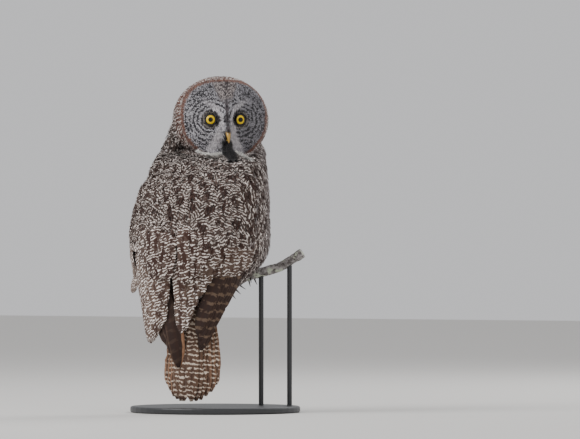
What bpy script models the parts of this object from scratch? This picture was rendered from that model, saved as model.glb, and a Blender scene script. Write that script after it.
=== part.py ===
"""Great grey owl on a cut branch, a still life-size model on a plain round stand.

Metres, +Z up. The body faces +Y and its right side is +X; the head looks back over the right shoulder.
The origin is the centre of the underside of the stand's base.
"""
import math
import random

import bmesh
import bpy
import numpy as np
from mathutils import Matrix, Vector

# Driving dimensions
GAP = 0.0003
MERGE = 0.000004
BASE_RADIUS = 0.170
BASE_THICKNESS = 0.012
TAIL_CLEARANCE = 0.010

# Body axis from neck to tail: y, z, lean of the section in degrees, half width, depth in front, depth behind, x
BODY_SECTIONS = (
    (0.030, 0.584, 0.0, 0.050, 0.048, 0.020, -0.028),
    (0.028, 0.552, 0.0, 0.072, 0.074, 0.014, -0.034),
    (0.022, 0.524, 2.0, 0.090, 0.100, 0.036, -0.021),
    (0.006, 0.499, 6.0, 0.107, 0.094, 0.088, -0.007),
    (-0.004, 0.470, 8.0, 0.112, 0.099, 0.108, -0.001),
    (-0.012, 0.435, 9.0, 0.117, 0.104, 0.113, 0.001),
    (-0.020, 0.398, 10.0, 0.118, 0.108, 0.113, 0.004),
    (-0.024, 0.362, 12.0, 0.116, 0.112, 0.108, 0.009),
    (-0.029, 0.330, 15.0, 0.108, 0.110, 0.098, 0.013),
    (-0.040, 0.300, 20.0, 0.092, 0.092, 0.082, 0.013),
    (-0.058, 0.268, 28.0, 0.070, 0.060, 0.062, 0.009),
    (-0.078, 0.235, 32.0, 0.050, 0.038, 0.040, 0.004),
    (-0.092, 0.208, 30.0, 0.038, 0.026, 0.024, 0.000),
)
BODY_SIDES = 32
RINGS_PER_SECTION = 2
NECK_PLANE = 0.474

# Loose feathers that fill the neck on both sides of the turned face: direction in degrees, height, spread, depth
NECK_LOBES = ((206.0, 0.532, 0.055, 0.025), (30.0, 0.537, 0.024, 0.022))
NECK_LOBE_TURN = 45.0

# Head
HEAD_CENTRE = Vector((0.0035, 0.015, 0.585))
HEAD_YAW = 137.5
HEAD_RADIUS = 0.0962
HEAD_DEPTH_BACK = 0.092
HEAD_SQUASH = 0.905
DISC_RADIUS = 0.0865
DISC_RIM_DEPTH = 0.037
DISC_DOME = 0.020
EYE_SIDE = 0.0300
EYE_UP = -0.001
EYE_RADIUS = 0.0135
EYE_FORWARD = 0.0435
LID_RADIUS = 0.0112
LID_THICKNESS = 0.0026
BILL_LENGTH = 0.030
BILL_WIDTH = 0.0105

# Wings
WING_SECTIONS = (
    (0.495, 0.104, 0.102, -0.004),
    (0.450, 0.128, 0.124, -0.018),
    (0.400, 0.133, 0.127, -0.028),
    (0.350, 0.132, 0.122, -0.036),
    (0.300, 0.122, 0.104, -0.046),
    (0.250, 0.104, 0.080, -0.058),
    (0.200, 0.082, 0.058, -0.074),
    (0.150, 0.064, 0.042, -0.086),
    (0.100, 0.050, 0.032, -0.092),
)
WING_LEAD_ANGLE = -6.0
WING_TRAIL_ANGLE = -84.0
WING_SINK = 0.026
LEFT_WING_SWING = 7.0
LEFT_WING_TURN = 0.5
LEFT_WING_OUT = 0.010
LEFT_WING_LENGTH = 0.94
SHOULDER = Vector((0.090, -0.020, 0.470))

# Feathers of a wing, from the leading edge inwards: count, root heights, tip heights, root angles, tip angles,
# half width, height over the wing's surface at root and tip
PRIMARIES = (6, (0.330, 0.322), (0.186, 0.156), (-15.0, -38.0), (-34.0, -64.0), 0.0155, (-0.0100, -0.0070))
SECONDARIES = (7, (0.352, 0.340), (0.272, 0.158), (-22.0, -80.0), (-26.0, -84.0), 0.0225, (-0.0085, -0.0008))
PRIMARY_COVERTS = (3, (0.362, 0.356), (0.284, 0.276), (-16, -32), (-19, -36), 0.0175, (-0.0070, 0.0034))
GREAT_COVERTS = (5, (0.402, 0.396), (0.312, 0.256), (-36.0, -78.0), (-38.0, -80.0), 0.0245, (-0.0070, 0.0052))
CROSSED_PRIMARIES = (3, (0.312, 0.308), (0.124, 0.081), (-44, -56), (-98, -135), 0.0170, (-0.0130, -0.0060))
SCAPULARS = (3, (0.452, 0.456), (0.366, 0.336), (-54.0, -78.0), (-56.0, -80.0), 0.0260, (-0.0060, 0.0080))
WING_TIP_LENGTH = 0.046
SHINGLE_TILT = 0.085
VANE_THICKNESS = 0.0016
VANE_TIP_THICKNESS = 0.0008
SHEET_ROUNDNESS = 0.24

# Tail
TAIL_ROOT = Vector((0.000, -0.100, 0.222))
TAIL_TIP_Z = BASE_THICKNESS + TAIL_CLEARANCE
TAIL_PAIRS = 6
TAIL_HALF_WIDTH = 0.056
TAIL_FEATHER_HALF_WIDTH = 0.0175
TAIL_STEP = 0.0028
TAIL_BASE_LENGTH = 0.052

# Feet and perch
PERCH_RADIUS = 0.0095
PERCH_POINTS = (
    (-0.030, 0.066, 0.222),
    (-0.012, 0.070, 0.243),
    (0.008, 0.074, 0.260),
    (0.030, 0.078, 0.271),
    (0.058, 0.084, 0.279),
    (0.094, 0.092, 0.289),
    (0.122, 0.098, 0.305),
    (0.142, 0.103, 0.318),
)
FOOT_ALONG = (1.35, 3.25)
ROD_ALONG = (3.98, 5.75)
ROD_RADIUS = 0.005
TOE_RADIUS = 0.0062
CLAW_LENGTH = 0.022

# Toes of a foot: shift along the branch, whether it points forward, and how far its tip splays
TOES = ((-0.0075, True, -0.004), (0.0, True, 0.0), (0.0075, True, 0.004), (0.0, False, 0.002))

FEATHER_SEED = 11


def material(name, colour, roughness, metallic=0.0):
    """A plain finish from an sRGB hex colour."""
    made = bpy.data.materials.get(name)
    if made:
        return made
    made = bpy.data.materials.new(name)
    made.use_nodes = True
    shader = made.node_tree.nodes["Principled BSDF"]
    channels = [int(colour[i:i + 2], 16) / 255 for i in (0, 2, 4)]
    linear = [c / 12.92 if c <= 0.04045 else ((c + 0.055) / 1.055) ** 2.4 for c in channels]
    shader.inputs["Base Color"].default_value = (*linear, 1.0)
    shader.inputs["Roughness"].default_value = roughness
    shader.inputs["Metallic"].default_value = metallic
    made.diffuse_color = (*linear, 1.0)
    return made


def collection(name):
    """The named collection, made and linked on first use."""
    found = bpy.data.collections.get(name)
    if not found:
        found = bpy.data.collections.new(name)
        bpy.context.scene.collection.children.link(found)
    return found


def add_object(name, mesh, finish=None, home="great_grey_owl"):
    """A mesh object in its collection, with its finish."""
    made = bpy.data.objects.new(name, mesh)
    collection(home).objects.link(made)
    if finish:
        mesh.materials.clear()
        mesh.materials.append(finish)
    return made


def mesh_from(name, points, faces):
    """A mesh with its faces turned outwards."""
    mesh = bpy.data.meshes.new(name)
    mesh.from_pydata([tuple(p) for p in points], [], faces)
    shape = bmesh.new()
    shape.from_mesh(mesh)
    bmesh.ops.recalc_face_normals(shape, faces=shape.faces)
    bmesh.ops.triangulate(shape, faces=[f for f in shape.faces if len(f.verts) > 4])
    shape.to_mesh(mesh)
    shape.free()
    return mesh


def loft(name, rings):
    """A closed skin over rings of equal count, flat at both ends."""
    count = len(rings[0])
    points = [p for ring in rings for p in ring]
    faces = []
    for row in range(len(rings) - 1):
        for i in range(count):
            a = row * count + i
            b = row * count + (i + 1) % count
            faces.append((a, b, b + count, a + count))
    faces.append(tuple(range(count))[::-1])
    last = (len(rings) - 1) * count
    faces.append(tuple(range(last, last + count)))
    return mesh_from(name, points, faces)


def smooth(made, angle=40.0):
    """Round pieces shaded smooth, with sharp edges kept."""
    made.data.shade_smooth()
    made.data.set_sharp_from_angle(angle=math.radians(angle))


def closed(mesh):
    """Whether a mesh has faces and every edge of it joins two of them."""
    shape = bmesh.new()
    shape.from_mesh(mesh)
    whole = len(shape.faces) > 3 and all(len(edge.link_faces) == 2 for edge in shape.edges)
    shape.free()
    return whole


def keep_largest(made):
    """Only the closed surface with the largest box is kept."""
    shape = bmesh.new()
    shape.from_mesh(made.data)
    left = set(shape.verts)
    groups = []
    while left:
        start = left.pop()
        group = {start}
        stack = [start]
        while stack:
            vert = stack.pop()
            for edge in vert.link_edges:
                other = edge.other_vert(vert)
                if other in left:
                    left.discard(other)
                    group.add(other)
                    stack.append(other)
        groups.append(group)
    groups.sort(key=spread, reverse=True)
    loose = [v for group in groups[1:] for v in group]
    bmesh.ops.delete(shape, geom=loose, context="VERTS")
    bmesh.ops.triangulate(shape, faces=shape.faces)
    shape.to_mesh(made.data)
    bmesh.ops.remove_doubles(shape, verts=shape.verts, dist=MERGE)
    bmesh.ops.dissolve_degenerate(shape, edges=shape.edges, dist=MERGE)
    bmesh.ops.triangulate(shape, faces=shape.faces)
    if all(len(edge.link_faces) == 2 for edge in shape.edges):
        shape.to_mesh(made.data)
    shape.free()


def spread(group):
    """Size of the box round a group of vertices."""
    places = np.array([v.co[:] for v in group])
    return float(np.prod(places.max(axis=0) - places.min(axis=0) + 0.001))


def boolean(made, operation, cutters):
    """One Boolean with a set of closed meshes, applied; the cutters are removed."""
    tools = collection("cutters_in_use")
    for cutter in cutters:
        for owner in list(cutter.users_collection):
            owner.objects.unlink(cutter)
        tools.objects.link(cutter)
        cutter.hide_render = True
        cutter.display_type = "WIRE"
    step = made.modifiers.new("join", "BOOLEAN")
    step.operation = operation
    step.operand_type = "COLLECTION"
    step.collection = tools
    for solver, tolerant in (("EXACT", False), ("MANIFOLD", False), ("EXACT", True)):
        step.solver = solver
        step.use_hole_tolerant = tolerant
        graph = bpy.context.evaluated_depsgraph_get()
        joined = bpy.data.meshes.new_from_object(made.evaluated_get(graph))
        if closed(joined):
            break
    made.modifiers.clear()
    old = made.data
    made.data = joined
    bpy.data.meshes.remove(old)
    for cutter in cutters:
        bpy.data.objects.remove(cutter)
    keep_largest(made)


def grown_copy(made, gap):
    """A copy whose surface stands out by the gap, to cut a neighbour clear."""
    mesh = made.data.copy()
    shape = bmesh.new()
    shape.from_mesh(mesh)
    bmesh.ops.remove_doubles(shape, verts=shape.verts, dist=0.000002)
    shape.normal_update()
    moves = [(v, v.normal.copy() * gap) for v in shape.verts]
    for vert, move in moves:
        vert.co += move
    shape.to_mesh(mesh)
    shape.free()
    return add_object(made.name + "_clear", mesh, home="cutters")


def cut_clear(made, *neighbours, gap=GAP):
    """The piece is cut back to meet its neighbours face to face."""
    for neighbour in neighbours:
        boolean(made, "DIFFERENCE", [grown_copy(neighbour, gap)])


def mix(a, b, t):
    """Straight blend of two numbers or places."""
    return a + (b - a) * t


def profile(table, z):
    """Values of a table of sections read at a height, the heights falling."""
    heights = [row[0] for row in table][::-1]
    return [float(np.interp(z, heights, [row[k] for row in table][::-1])) for k in range(1, len(table[0]))]


def body_rings():
    """Rings of the body from the neck to the tail, rounded between the named sections."""
    table = np.array(BODY_SECTIONS)
    steps = (len(table) - 1) * RINGS_PER_SECTION
    rings = []
    for step in range(steps + 1):
        row = catmull(table, step / RINGS_PER_SECTION)
        rings.append(body_ring(*row))
    return rings


def catmull(table, place):
    """A smooth curve through the rows of a table."""
    i = min(int(place), len(table) - 2)
    t = place - i
    p0 = table[max(i - 1, 0)]
    p1 = table[i]
    p2 = table[i + 1]
    p3 = table[min(i + 2, len(table) - 1)]
    slope = (p2 - p0) * t
    bend = (2 * p0 - 5 * p1 + 4 * p2 - p3) * t ** 2
    twist = (3 * p1 - p0 - 3 * p2 + p3) * t ** 3
    return 0.5 * (2 * p1 + slope + bend + twist)


def body_ring(y, z, lean, half, front, behind, x):
    """One oval section, leaning back from the body's axis."""
    tilt = math.radians(lean)
    ahead = Vector((0, math.cos(tilt), -math.sin(tilt)))
    ring = []
    for i in range(BODY_SIDES):
        angle = math.tau * i / BODY_SIDES
        more = neck_fullness(math.degrees(angle), z)
        along = math.sin(angle)
        reach = (front if along > 0 else behind) + more
        ring.append(Vector((x + (half + more) * math.cos(angle), y, z)) + ahead * (reach * along))
    return ring


def neck_fullness(direction, z):
    """How much the loose neck feathers add in one direction at one height."""
    added = 0.0
    for middle, height, spread_z, depth in NECK_LOBES:
        turn = (direction - middle + 180.0) % 360.0 - 180.0
        added += depth * math.exp(-(turn / NECK_LOBE_TURN) ** 2 - ((z - height) / spread_z) ** 2)
    return added


def make_body():
    """The whole body from neck to rump, parted at the neck by a thin cut."""
    feather = material("body_feathers", "6b5f5c", 0.9)
    neck_feather = material("neck_feathers", "756b6a", 0.9)
    torso = add_object("torso", loft("torso", body_rings()), feather)
    neck = add_object("neck", loft("neck", body_rings()), neck_feather)
    above = block("above", (-0.3, -0.3, NECK_PLANE), (0.3, 0.3, 0.8))
    below = block("below", (-0.3, -0.3, 0.0), (0.3, 0.3, NECK_PLANE + GAP))
    boolean(torso, "DIFFERENCE", [above])
    boolean(neck, "DIFFERENCE", [below])
    return torso, neck


def block(name, low, high):
    """A box between two corners."""
    mesh = bpy.data.meshes.new(name)
    shape = bmesh.new()
    bmesh.ops.create_cube(shape, size=1.0)
    for vert in shape.verts:
        vert.co = Vector([mix(low[k], high[k], vert.co[k] + 0.5) for k in range(3)])
    shape.to_mesh(mesh)
    shape.free()
    return add_object(name, mesh, home="cutters")


def ball(name, centre, radius, segments=24, rings=16):
    """A sphere at its place."""
    mesh = bpy.data.meshes.new(name)
    shape = bmesh.new()
    bmesh.ops.create_uvsphere(shape, u_segments=segments, v_segments=rings, radius=radius)
    bmesh.ops.translate(shape, verts=shape.verts, vec=centre)
    shape.to_mesh(mesh)
    shape.free()
    return add_object(name, mesh, home="cutters")


def face_axes():
    """Forward, side and up of the face; side runs to the right of one who looks at it."""
    yaw = math.radians(HEAD_YAW)
    forward = Vector((math.sin(yaw), math.cos(yaw), 0))
    up = Vector((0, 0, 1))
    side = (-forward).cross(up)
    return forward, side, up


def face_point(side_by, up_by, forward_by):
    """A place given in the face's own axes."""
    forward, side, up = face_axes()
    return HEAD_CENTRE + side * side_by + up * up_by + forward * forward_by


def face_depth(x, y):
    """How far the facial disc stands forward of the head's centre."""
    reach = math.hypot(x, y) / DISC_RADIUS
    depth = DISC_RIM_DEPTH + DISC_DOME * (1 - reach ** 2)
    for eye in (-EYE_SIDE, EYE_SIDE):
        away = math.hypot(x - eye * 1.25, y - EYE_UP) / 0.030
        depth -= 0.0065 * math.exp(-away ** 2)
    ridge = math.exp(-(x / 0.0115) ** 2)
    depth += 0.011 * ridge * smooth_step(-0.052, -0.022, y) * smooth_step(0.085, 0.005, y)
    lore = math.exp(-((abs(x) - 0.0145) / 0.006) ** 2)
    depth += 0.0045 * lore * math.exp(-((y + 0.002) / 0.026) ** 2)
    rim = math.exp(-((reach - 0.96) / 0.05) ** 2)
    return depth + 0.0030 * rim


def smooth_step(low, high, value):
    """A soft ramp from 0 at low to 1 at high."""
    t = min(1.0, max(0.0, (value - low) / (high - low)))
    return t * t * (3 - 2 * t)


def make_head():
    """Head with dished facial disc, rim, lids and the cup that the neck holds."""
    sides = 38
    rings = []
    for reach in (0.06, 0.14, 0.22, 0.30, 0.38, 0.47, 0.56, 0.65, 0.74, 0.83, 0.90, 0.96, 1.0):
        rings.append([disc_point(reach * DISC_RADIUS, math.tau * i / sides) for i in range(sides)])
    start = math.asin(DISC_RIM_DEPTH / HEAD_DEPTH_BACK)
    for step in range(1, 12):
        angle = mix(start, -math.pi / 2, step / 11.4)
        around = HEAD_RADIUS * math.cos(angle)
        depth = HEAD_DEPTH_BACK * math.sin(angle)
        rings.append([head_point(around, math.tau * i / sides, depth) for i in range(sides)])
    head = add_object("head", loft("head", rings), material("head_feathers", "857f80", 0.9))
    lids = []
    for eye in (-EYE_SIDE, EYE_SIDE):
        lids.append(make_lid(eye))
    boolean(head, "UNION", lids)
    return head


def disc_point(radius, angle):
    """A point of the facial disc."""
    x = radius * math.cos(angle)
    y = radius * math.sin(angle)
    return face_point(x, y * HEAD_SQUASH, face_depth(x, y))


def head_point(radius, angle, depth):
    """A point of the crown, cheeks and back of the head."""
    return face_point(radius * math.cos(angle), radius * math.sin(angle) * HEAD_SQUASH, depth)


def eye_centre(eye):
    """Centre of an eyeball; the eyes look a little outwards."""
    return face_point(eye, EYE_UP, EYE_FORWARD)


def eye_direction(eye):
    """Where an eye looks."""
    forward, side, up = face_axes()
    return (forward + side * (0.16 if eye > 0 else -0.16)).normalized()


def make_lid(eye):
    """The ring of bare lid round one eye."""
    look = eye_direction(eye)
    seat = eye_centre(eye) + look * math.sqrt(EYE_RADIUS ** 2 - LID_RADIUS ** 2)
    across = look.cross(Vector((0, 0, 1))).normalized()
    upward = across.cross(look)
    points = []
    faces = []
    around = 18
    about = 6
    for i in range(around):
        a = math.tau * i / around
        out = across * math.cos(a) + upward * math.sin(a)
        for j in range(about):
            b = math.tau * j / about
            rise = look * (LID_THICKNESS * math.sin(b))
            points.append(seat + out * (LID_RADIUS + LID_THICKNESS * math.cos(b)) + rise)
            here = i * about + j
            up_one = i * about + (j + 1) % about
            nxt = ((i + 1) % around) * about
            faces.append((here, up_one, nxt + (j + 1) % about, nxt + j))
    return add_object("lid", mesh_from("lid", points, faces), home="cutters")


def make_eyes(head):
    """Two eyeballs set in sockets that clear them."""
    iris = material("eye", "e9cf2e", 0.15)
    for name, eye in (("eye_right", -EYE_SIDE), ("eye_left", EYE_SIDE)):
        socket = ball("socket", eye_centre(eye), EYE_RADIUS + GAP, 16, 10)
        boolean(head, "DIFFERENCE", [socket])
        eyeball = ball(name, eye_centre(eye), EYE_RADIUS, 16, 10)
        collection("cutters").objects.unlink(eyeball)
        collection("great_grey_owl").objects.link(eyeball)
        eyeball.data.materials.append(iris)
        smooth(eyeball)


def make_bill(head):
    """Hooked upper bill with nostrils, and the lower bill under the line of the mouth."""
    horn = material("bill", "c8a03a", 0.35)
    upper = add_object("bill_upper", loft("bill_upper", bill_rings(upper_bill_section)), horn)
    lower = add_object("bill_lower", loft("bill_lower", bill_rings(lower_bill_section)), horn)
    dents = []
    for turn in (-1, 1):
        dents.append(ball("nostril", face_point(turn * BILL_WIDTH * 0.44, -0.0285, 0.0735), 0.0012, 8, 6))
    cut_clear(upper, head)
    cut_clear(lower, head)
    boolean(upper, "DIFFERENCE", dents)
    return upper, lower


def bill_rings(section):
    """Rings along the bill from its hidden root to its tip."""
    return [section(step / 8) for step in range(9)]


def upper_bill_section(t):
    """The upper bill curves down to a hook."""
    angle = math.radians(mix(20, 96, t ** 0.9))
    centre_y = -0.022 - BILL_LENGTH * (1 - math.cos(angle)) * 0.80
    centre_z = 0.054 + 0.0265 * math.sin(angle)
    wide = BILL_WIDTH * 0.5 * (1 - t ** 1.6) + 0.0007
    tall = 0.0075 * (1 - t ** 1.3) + 0.0009
    lift = Vector((0, math.cos(angle), math.sin(angle)))
    ring = []
    for i in range(10):
        a = math.tau * i / 10
        across = wide * math.cos(a)
        out = tall * max(math.sin(a), -0.35)
        ring.append(face_point(across, centre_y + lift.y * out, centre_z + lift.z * out))
    return ring


def lower_bill_section(t):
    """The lower bill is shorter and lies inside the upper one's edges."""
    wide = BILL_WIDTH * 0.32 * (1 - t ** 1.8) + 0.0006
    tall = 0.0034 * (1 - t ** 1.5) + 0.0006
    centre_y = -0.0365 - 0.0050 * t
    centre_z = 0.044 + 0.0265 * t
    ring = []
    for i in range(8):
        a = math.tau * i / 8
        ring.append(face_point(wide * math.cos(a), centre_y + tall * math.sin(a) - 0.002, centre_z))
    return ring


def sheet_point(angle, z, out=0.0):
    """A point of the folded wings' outer surface: angle round the body, height, and distance outwards."""
    half, deep, middle = profile(WING_SECTIONS, z)
    turn = math.radians(angle)
    normal = Vector((math.cos(turn) / half, math.sin(turn) / deep, 0)).normalized()
    return Vector((half * math.cos(turn), middle + deep * math.sin(turn), z)) + normal * out


def place_wing(point, side):
    """The right wing as it is; the left one mirrored, drooping and swung away from the body."""
    if side > 0:
        return point
    moved = point - SHOULDER
    if moved.z < 0:
        moved.z *= LEFT_WING_LENGTH
    droop = smooth_step(0.03, -0.12, moved.z)
    moved = Matrix.Rotation(math.radians(-LEFT_WING_SWING * droop), 3, "Y") @ moved
    moved = Matrix.Rotation(math.radians(-LEFT_WING_TURN), 3, "Z") @ moved
    moved += SHOULDER + Vector((LEFT_WING_OUT * smooth_step(0.05, -0.03, moved.z), 0, 0))
    return Vector((-moved.x, moved.y, moved.z))


def wing_arm(side):
    """The arm with its small coverts, a shell over the flank and back whose edges sink into the body."""
    columns = 8
    rows = 9
    top = 0.490
    low = 0.312
    outer = []
    inner = []
    for row in range(rows):
        z = mix(top, low, row / (rows - 1))
        for column in range(columns):
            angle = mix(WING_LEAD_ANGLE, WING_TRAIL_ANGLE, column / (columns - 1))
            border = row in (0, rows - 1) or column in (0, columns - 1)
            outer.append(place_wing(sheet_point(angle, z, -WING_SINK if border else -0.002), side))
            inner.append(place_wing(sheet_point(angle, z, -WING_SINK - 0.010), side))
    return add_object("wing", shell_mesh("wing", outer, inner, rows, columns))


def shell_mesh(name, outer, inner, rows, columns):
    """A closed plate between two grids of points."""
    count = rows * columns
    faces = []
    for row in range(rows - 1):
        for column in range(columns - 1):
            a = row * columns + column
            faces.append((a, a + 1, a + columns + 1, a + columns))
            faces.append((count + a, count + a + columns, count + a + columns + 1, count + a + 1))
    rim = [column for column in range(columns - 1)]
    rim += [row * columns + columns - 1 for row in range(rows - 1)]
    rim += [(rows - 1) * columns + column for column in range(columns - 1, 0, -1)]
    rim += [row * columns for row in range(rows - 1, 0, -1)]
    for i, a in enumerate(rim):
        b = rim[(i + 1) % len(rim)]
        faces.append((a, count + a, count + b, b))
    return mesh_from(name, outer + inner, faces)


def vane(name, rows):
    """A closed tapered vane; a row is its centre, ways across and out, half width, thickness, tilt."""
    points = []
    for centre, across, out, half, thick, tilt in rows:
        sag = half * half / SHEET_ROUNDNESS
        left = centre - across * half + out * (-sag - tilt * half)
        right = centre + across * half + out * (-sag + tilt * half)
        edge = out * (thick * 0.30)
        middle = out * (thick * 0.50)
        points += [left + edge, centre + middle, right + edge, right - edge, centre - middle, left - edge]
    faces = []
    for row in range(len(rows) - 1):
        a = row * 6
        b = a + 6
        faces += [(a, a + 1, b + 1), (a, b + 1, b), (a + 1, a + 2, b + 2), (a + 1, b + 2, b + 1)]
        faces += [(a + 5, b + 4, a + 4), (a + 5, b + 5, b + 4), (a + 4, b + 3, a + 3), (a + 4, b + 4, b + 3)]
        faces += [(a + 2, a + 3, b + 3), (a + 2, b + 3, b + 2), (a + 5, a, b), (a + 5, b, b + 5)]
    last = (len(rows) - 1) * 6
    faces += [(0, 5, 4), (0, 4, 1), (1, 4, 3), (1, 3, 2)]
    faces += [(last, last + 4, last + 5), (last, last + 1, last + 4)]
    faces += [(last + 1, last + 3, last + 4), (last + 1, last + 2, last + 3)]
    return add_object(name, mesh_from(name, points, faces), home="cutters")


def feather_width(t):
    """Share of a feather's full width along its length, round at the tip."""
    rounding = max(0.0, (t - 0.62) / 0.385) ** 2
    return mix(0.55, 1.0, smooth_step(0.0, 0.35, t)) * math.sqrt(max(0.035, 1 - rounding))


def wing_feather(side, root, tip, half, lift, rows, draw):
    """One feather laid on the folded wing's surface, from its sunk root to its tip."""
    root_angle, root_z = root
    tip_angle, tip_z = tip
    wobble = draw.uniform(-1.0, 1.0)
    made = []
    for row in range(rows + 1):
        t = (row / rows) ** 0.85
        rise = smooth_step(0.0, 0.30, t)
        out_by = mix(lift[0], lift[1], rise)
        angle = mix(root_angle, tip_angle, t)
        z = mix(root_z, tip_z, t)
        here = place_wing(sheet_point(angle, z, out_by), side)
        higher = place_wing(sheet_point(angle, z, out_by + 0.01), side)
        earlier = t - 0.02
        behind = sheet_point(mix(root_angle, tip_angle, earlier), mix(root_z, tip_z, earlier), out_by)
        before = place_wing(behind, side)
        out = (higher - here).normalized()
        along = (here - before).normalized()
        across = out.cross(along).normalized() * (1 if side > 0 else -1)
        thick = mix(VANE_THICKNESS, VANE_TIP_THICKNESS, t)
        tilt = SHINGLE_TILT * rise * (1 + 0.1 * wobble)
        made.append((here, across, out, half * feather_width(t), thick, tilt))
    return vane("feather", made)


def wing_tier(side, tier, rows, shape, draw):
    """One tier of a wing's feathers from the leading edge inwards; shape says how the tips fall."""
    count, root_z, tip_z, root_angle, tip_angle, half, lift = tier
    made = []
    for number in range(count):
        f = number / (count - 1)
        root = (mix(*root_angle, f), mix(*root_z, f))
        tip = (mix(*tip_angle, f), mix(*tip_z, shape(f)) + draw.uniform(-0.002, 0.002))
        step = -0.0004 * (count - 1 - number)
        made.append(wing_feather(side, root, tip, half, (lift[0], lift[1] + step), rows, draw))
    return made


def secondary_tips(f):
    """The inner flight feathers hang lower than the outer ones."""
    return smooth_step(0.40, 1.0, f)


def drooping_tips(f):
    """On the drooping wing the outer ones hang lowest and hide the primaries."""
    return 1.30 * smooth_step(-0.15, 0.40, f) - 1.8 * max(0.0, f - 0.5) ** 2


def primary_tips(f):
    """The longest primaries lie in the middle of the wing's tip."""
    return f + math.sin(math.pi * min(1.0, f * 1.15)) * WING_TIP_LENGTH / (PRIMARIES[2][0] - PRIMARIES[2][1])


def even_tips(f):
    """Tips that step evenly."""
    return f


def make_wing(name, side, torso, neck):
    """One wing: its arm cut to the body and its tiers of overlapping feathers, fused at their roots."""
    draw = random.Random(FEATHER_SEED + side)
    arm = wing_arm(side)
    arm.name = name
    arm.data.materials.append(material("wing_feathers", "63544e", 0.85))
    cut_clear(arm, torso, neck)
    feathers = wing_tier(side, PRIMARIES, 3, primary_tips, draw)
    feathers += wing_tier(side, SECONDARIES, 3, secondary_tips if side > 0 else drooping_tips, draw)
    feathers += wing_tier(side, PRIMARY_COVERTS, 3, even_tips, draw)
    feathers += wing_tier(side, GREAT_COVERTS, 3, secondary_tips, draw)
    feathers += wing_tier(side, SCAPULARS, 3, even_tips, draw)
    if side < 0:
        feathers += wing_tier(side, CROSSED_PRIMARIES, 5, even_tips, draw)
    boolean(arm, "UNION", feathers)
    return arm


def tail_base():
    """The root of the tail, a short arched plate under the rump."""
    columns = 5
    rows = 4
    outer = []
    inner = []
    for row in range(rows):
        t = row / (rows - 1)
        z = TAIL_ROOT.z + 0.030 - TAIL_BASE_LENGTH * t
        for column in range(columns):
            s = 2 * column / (columns - 1) - 1
            x = s * mix(0.026, 0.034, t)
            y = TAIL_ROOT.y + 0.010 * s * s
            outer.append(Vector((x, y - mix(0.006, 0.004, t), z)))
            inner.append(Vector((x, y + mix(0.012, 0.010, t), z)))
    finish = material("tail_feathers", "5a463c", 0.8)
    return add_object("tail", shell_mesh("tail", outer, inner, rows, columns), finish)


def tail_feather(pair, turn, draw):
    """One tail feather; the middle pair lies on top and each next one under it."""
    share = pair / (TAIL_PAIRS - 1)
    root_x = turn * (0.003 + 0.0042 * pair)
    tip_x = turn * (0.009 + (TAIL_HALF_WIDTH - 0.009) * share)
    tip_z = TAIL_TIP_Z + 0.034 * share ** 2.4 + (0.0 if pair == 0 and turn > 0 else draw.uniform(0.0008, 0.003))
    depth = TAIL_ROOT.y + 0.0015 + TAIL_STEP * pair + (TAIL_STEP / 2 if turn < 0 else 0.0)
    made = []
    rows = 4
    for row in range(rows + 1):
        t = (row / rows) ** 0.85
        x = mix(root_x, tip_x, t ** 0.75)
        centre = Vector((x, depth - 0.010 * t + 0.04 * x * x / TAIL_HALF_WIDTH, mix(TAIL_ROOT.z, tip_z, t)))
        across = Vector((1, 0.08 * x / TAIL_HALF_WIDTH, 0)).normalized()
        out = across.cross(Vector((0, 0, 1))).normalized()
        thick = mix(VANE_THICKNESS, VANE_TIP_THICKNESS, t)
        made.append((centre, across, out, TAIL_FEATHER_HALF_WIDTH * feather_width(t), thick, 0.0))
    return vane("rectrix", made)


def make_tail(torso):
    """The tail: twelve overlapping feathers fused at their roots and cut to meet the rump."""
    draw = random.Random(FEATHER_SEED)
    tail = tail_base()
    feathers = [tail_feather(pair, turn, draw) for pair in range(TAIL_PAIRS) for turn in (1, -1)]
    boolean(tail, "UNION", feathers)
    cut_clear(tail, torso)
    return tail


def perch_point(place):
    """A point of the branch's axis, counted in its named points."""
    return Vector(catmull(np.array(PERCH_POINTS), place))


def tube(name, points, radii, sides=10):
    """A closed tube along points with its own radius at each."""
    rings = []
    for i, point in enumerate(points):
        before = points[max(i - 1, 0)]
        after = points[min(i + 1, len(points) - 1)]
        along = (after - before).normalized()
        aside = along.cross(Vector((0.13, 0.21, 0.97))).normalized()
        upward = aside.cross(along)
        ring = []
        for k in range(sides):
            angle = math.tau * k / sides
            ring.append(point + (aside * math.cos(angle) + upward * math.sin(angle)) * radii[i])
        rings.append(ring)
    return loft(name, rings)


def make_perch():
    """A short cut length of branch, a little uneven."""
    draw = random.Random(FEATHER_SEED)
    places = [k * 0.5 for k in range(2 * len(PERCH_POINTS) - 1)]
    points = [perch_point(place) for place in places]
    radii = [PERCH_RADIUS * draw.uniform(0.94, 1.08) for _ in places]
    perch = add_object("perch", tube("perch", points, radii, 12), material("bark", "9a9496", 0.95))
    smooth(perch)
    return perch


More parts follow.
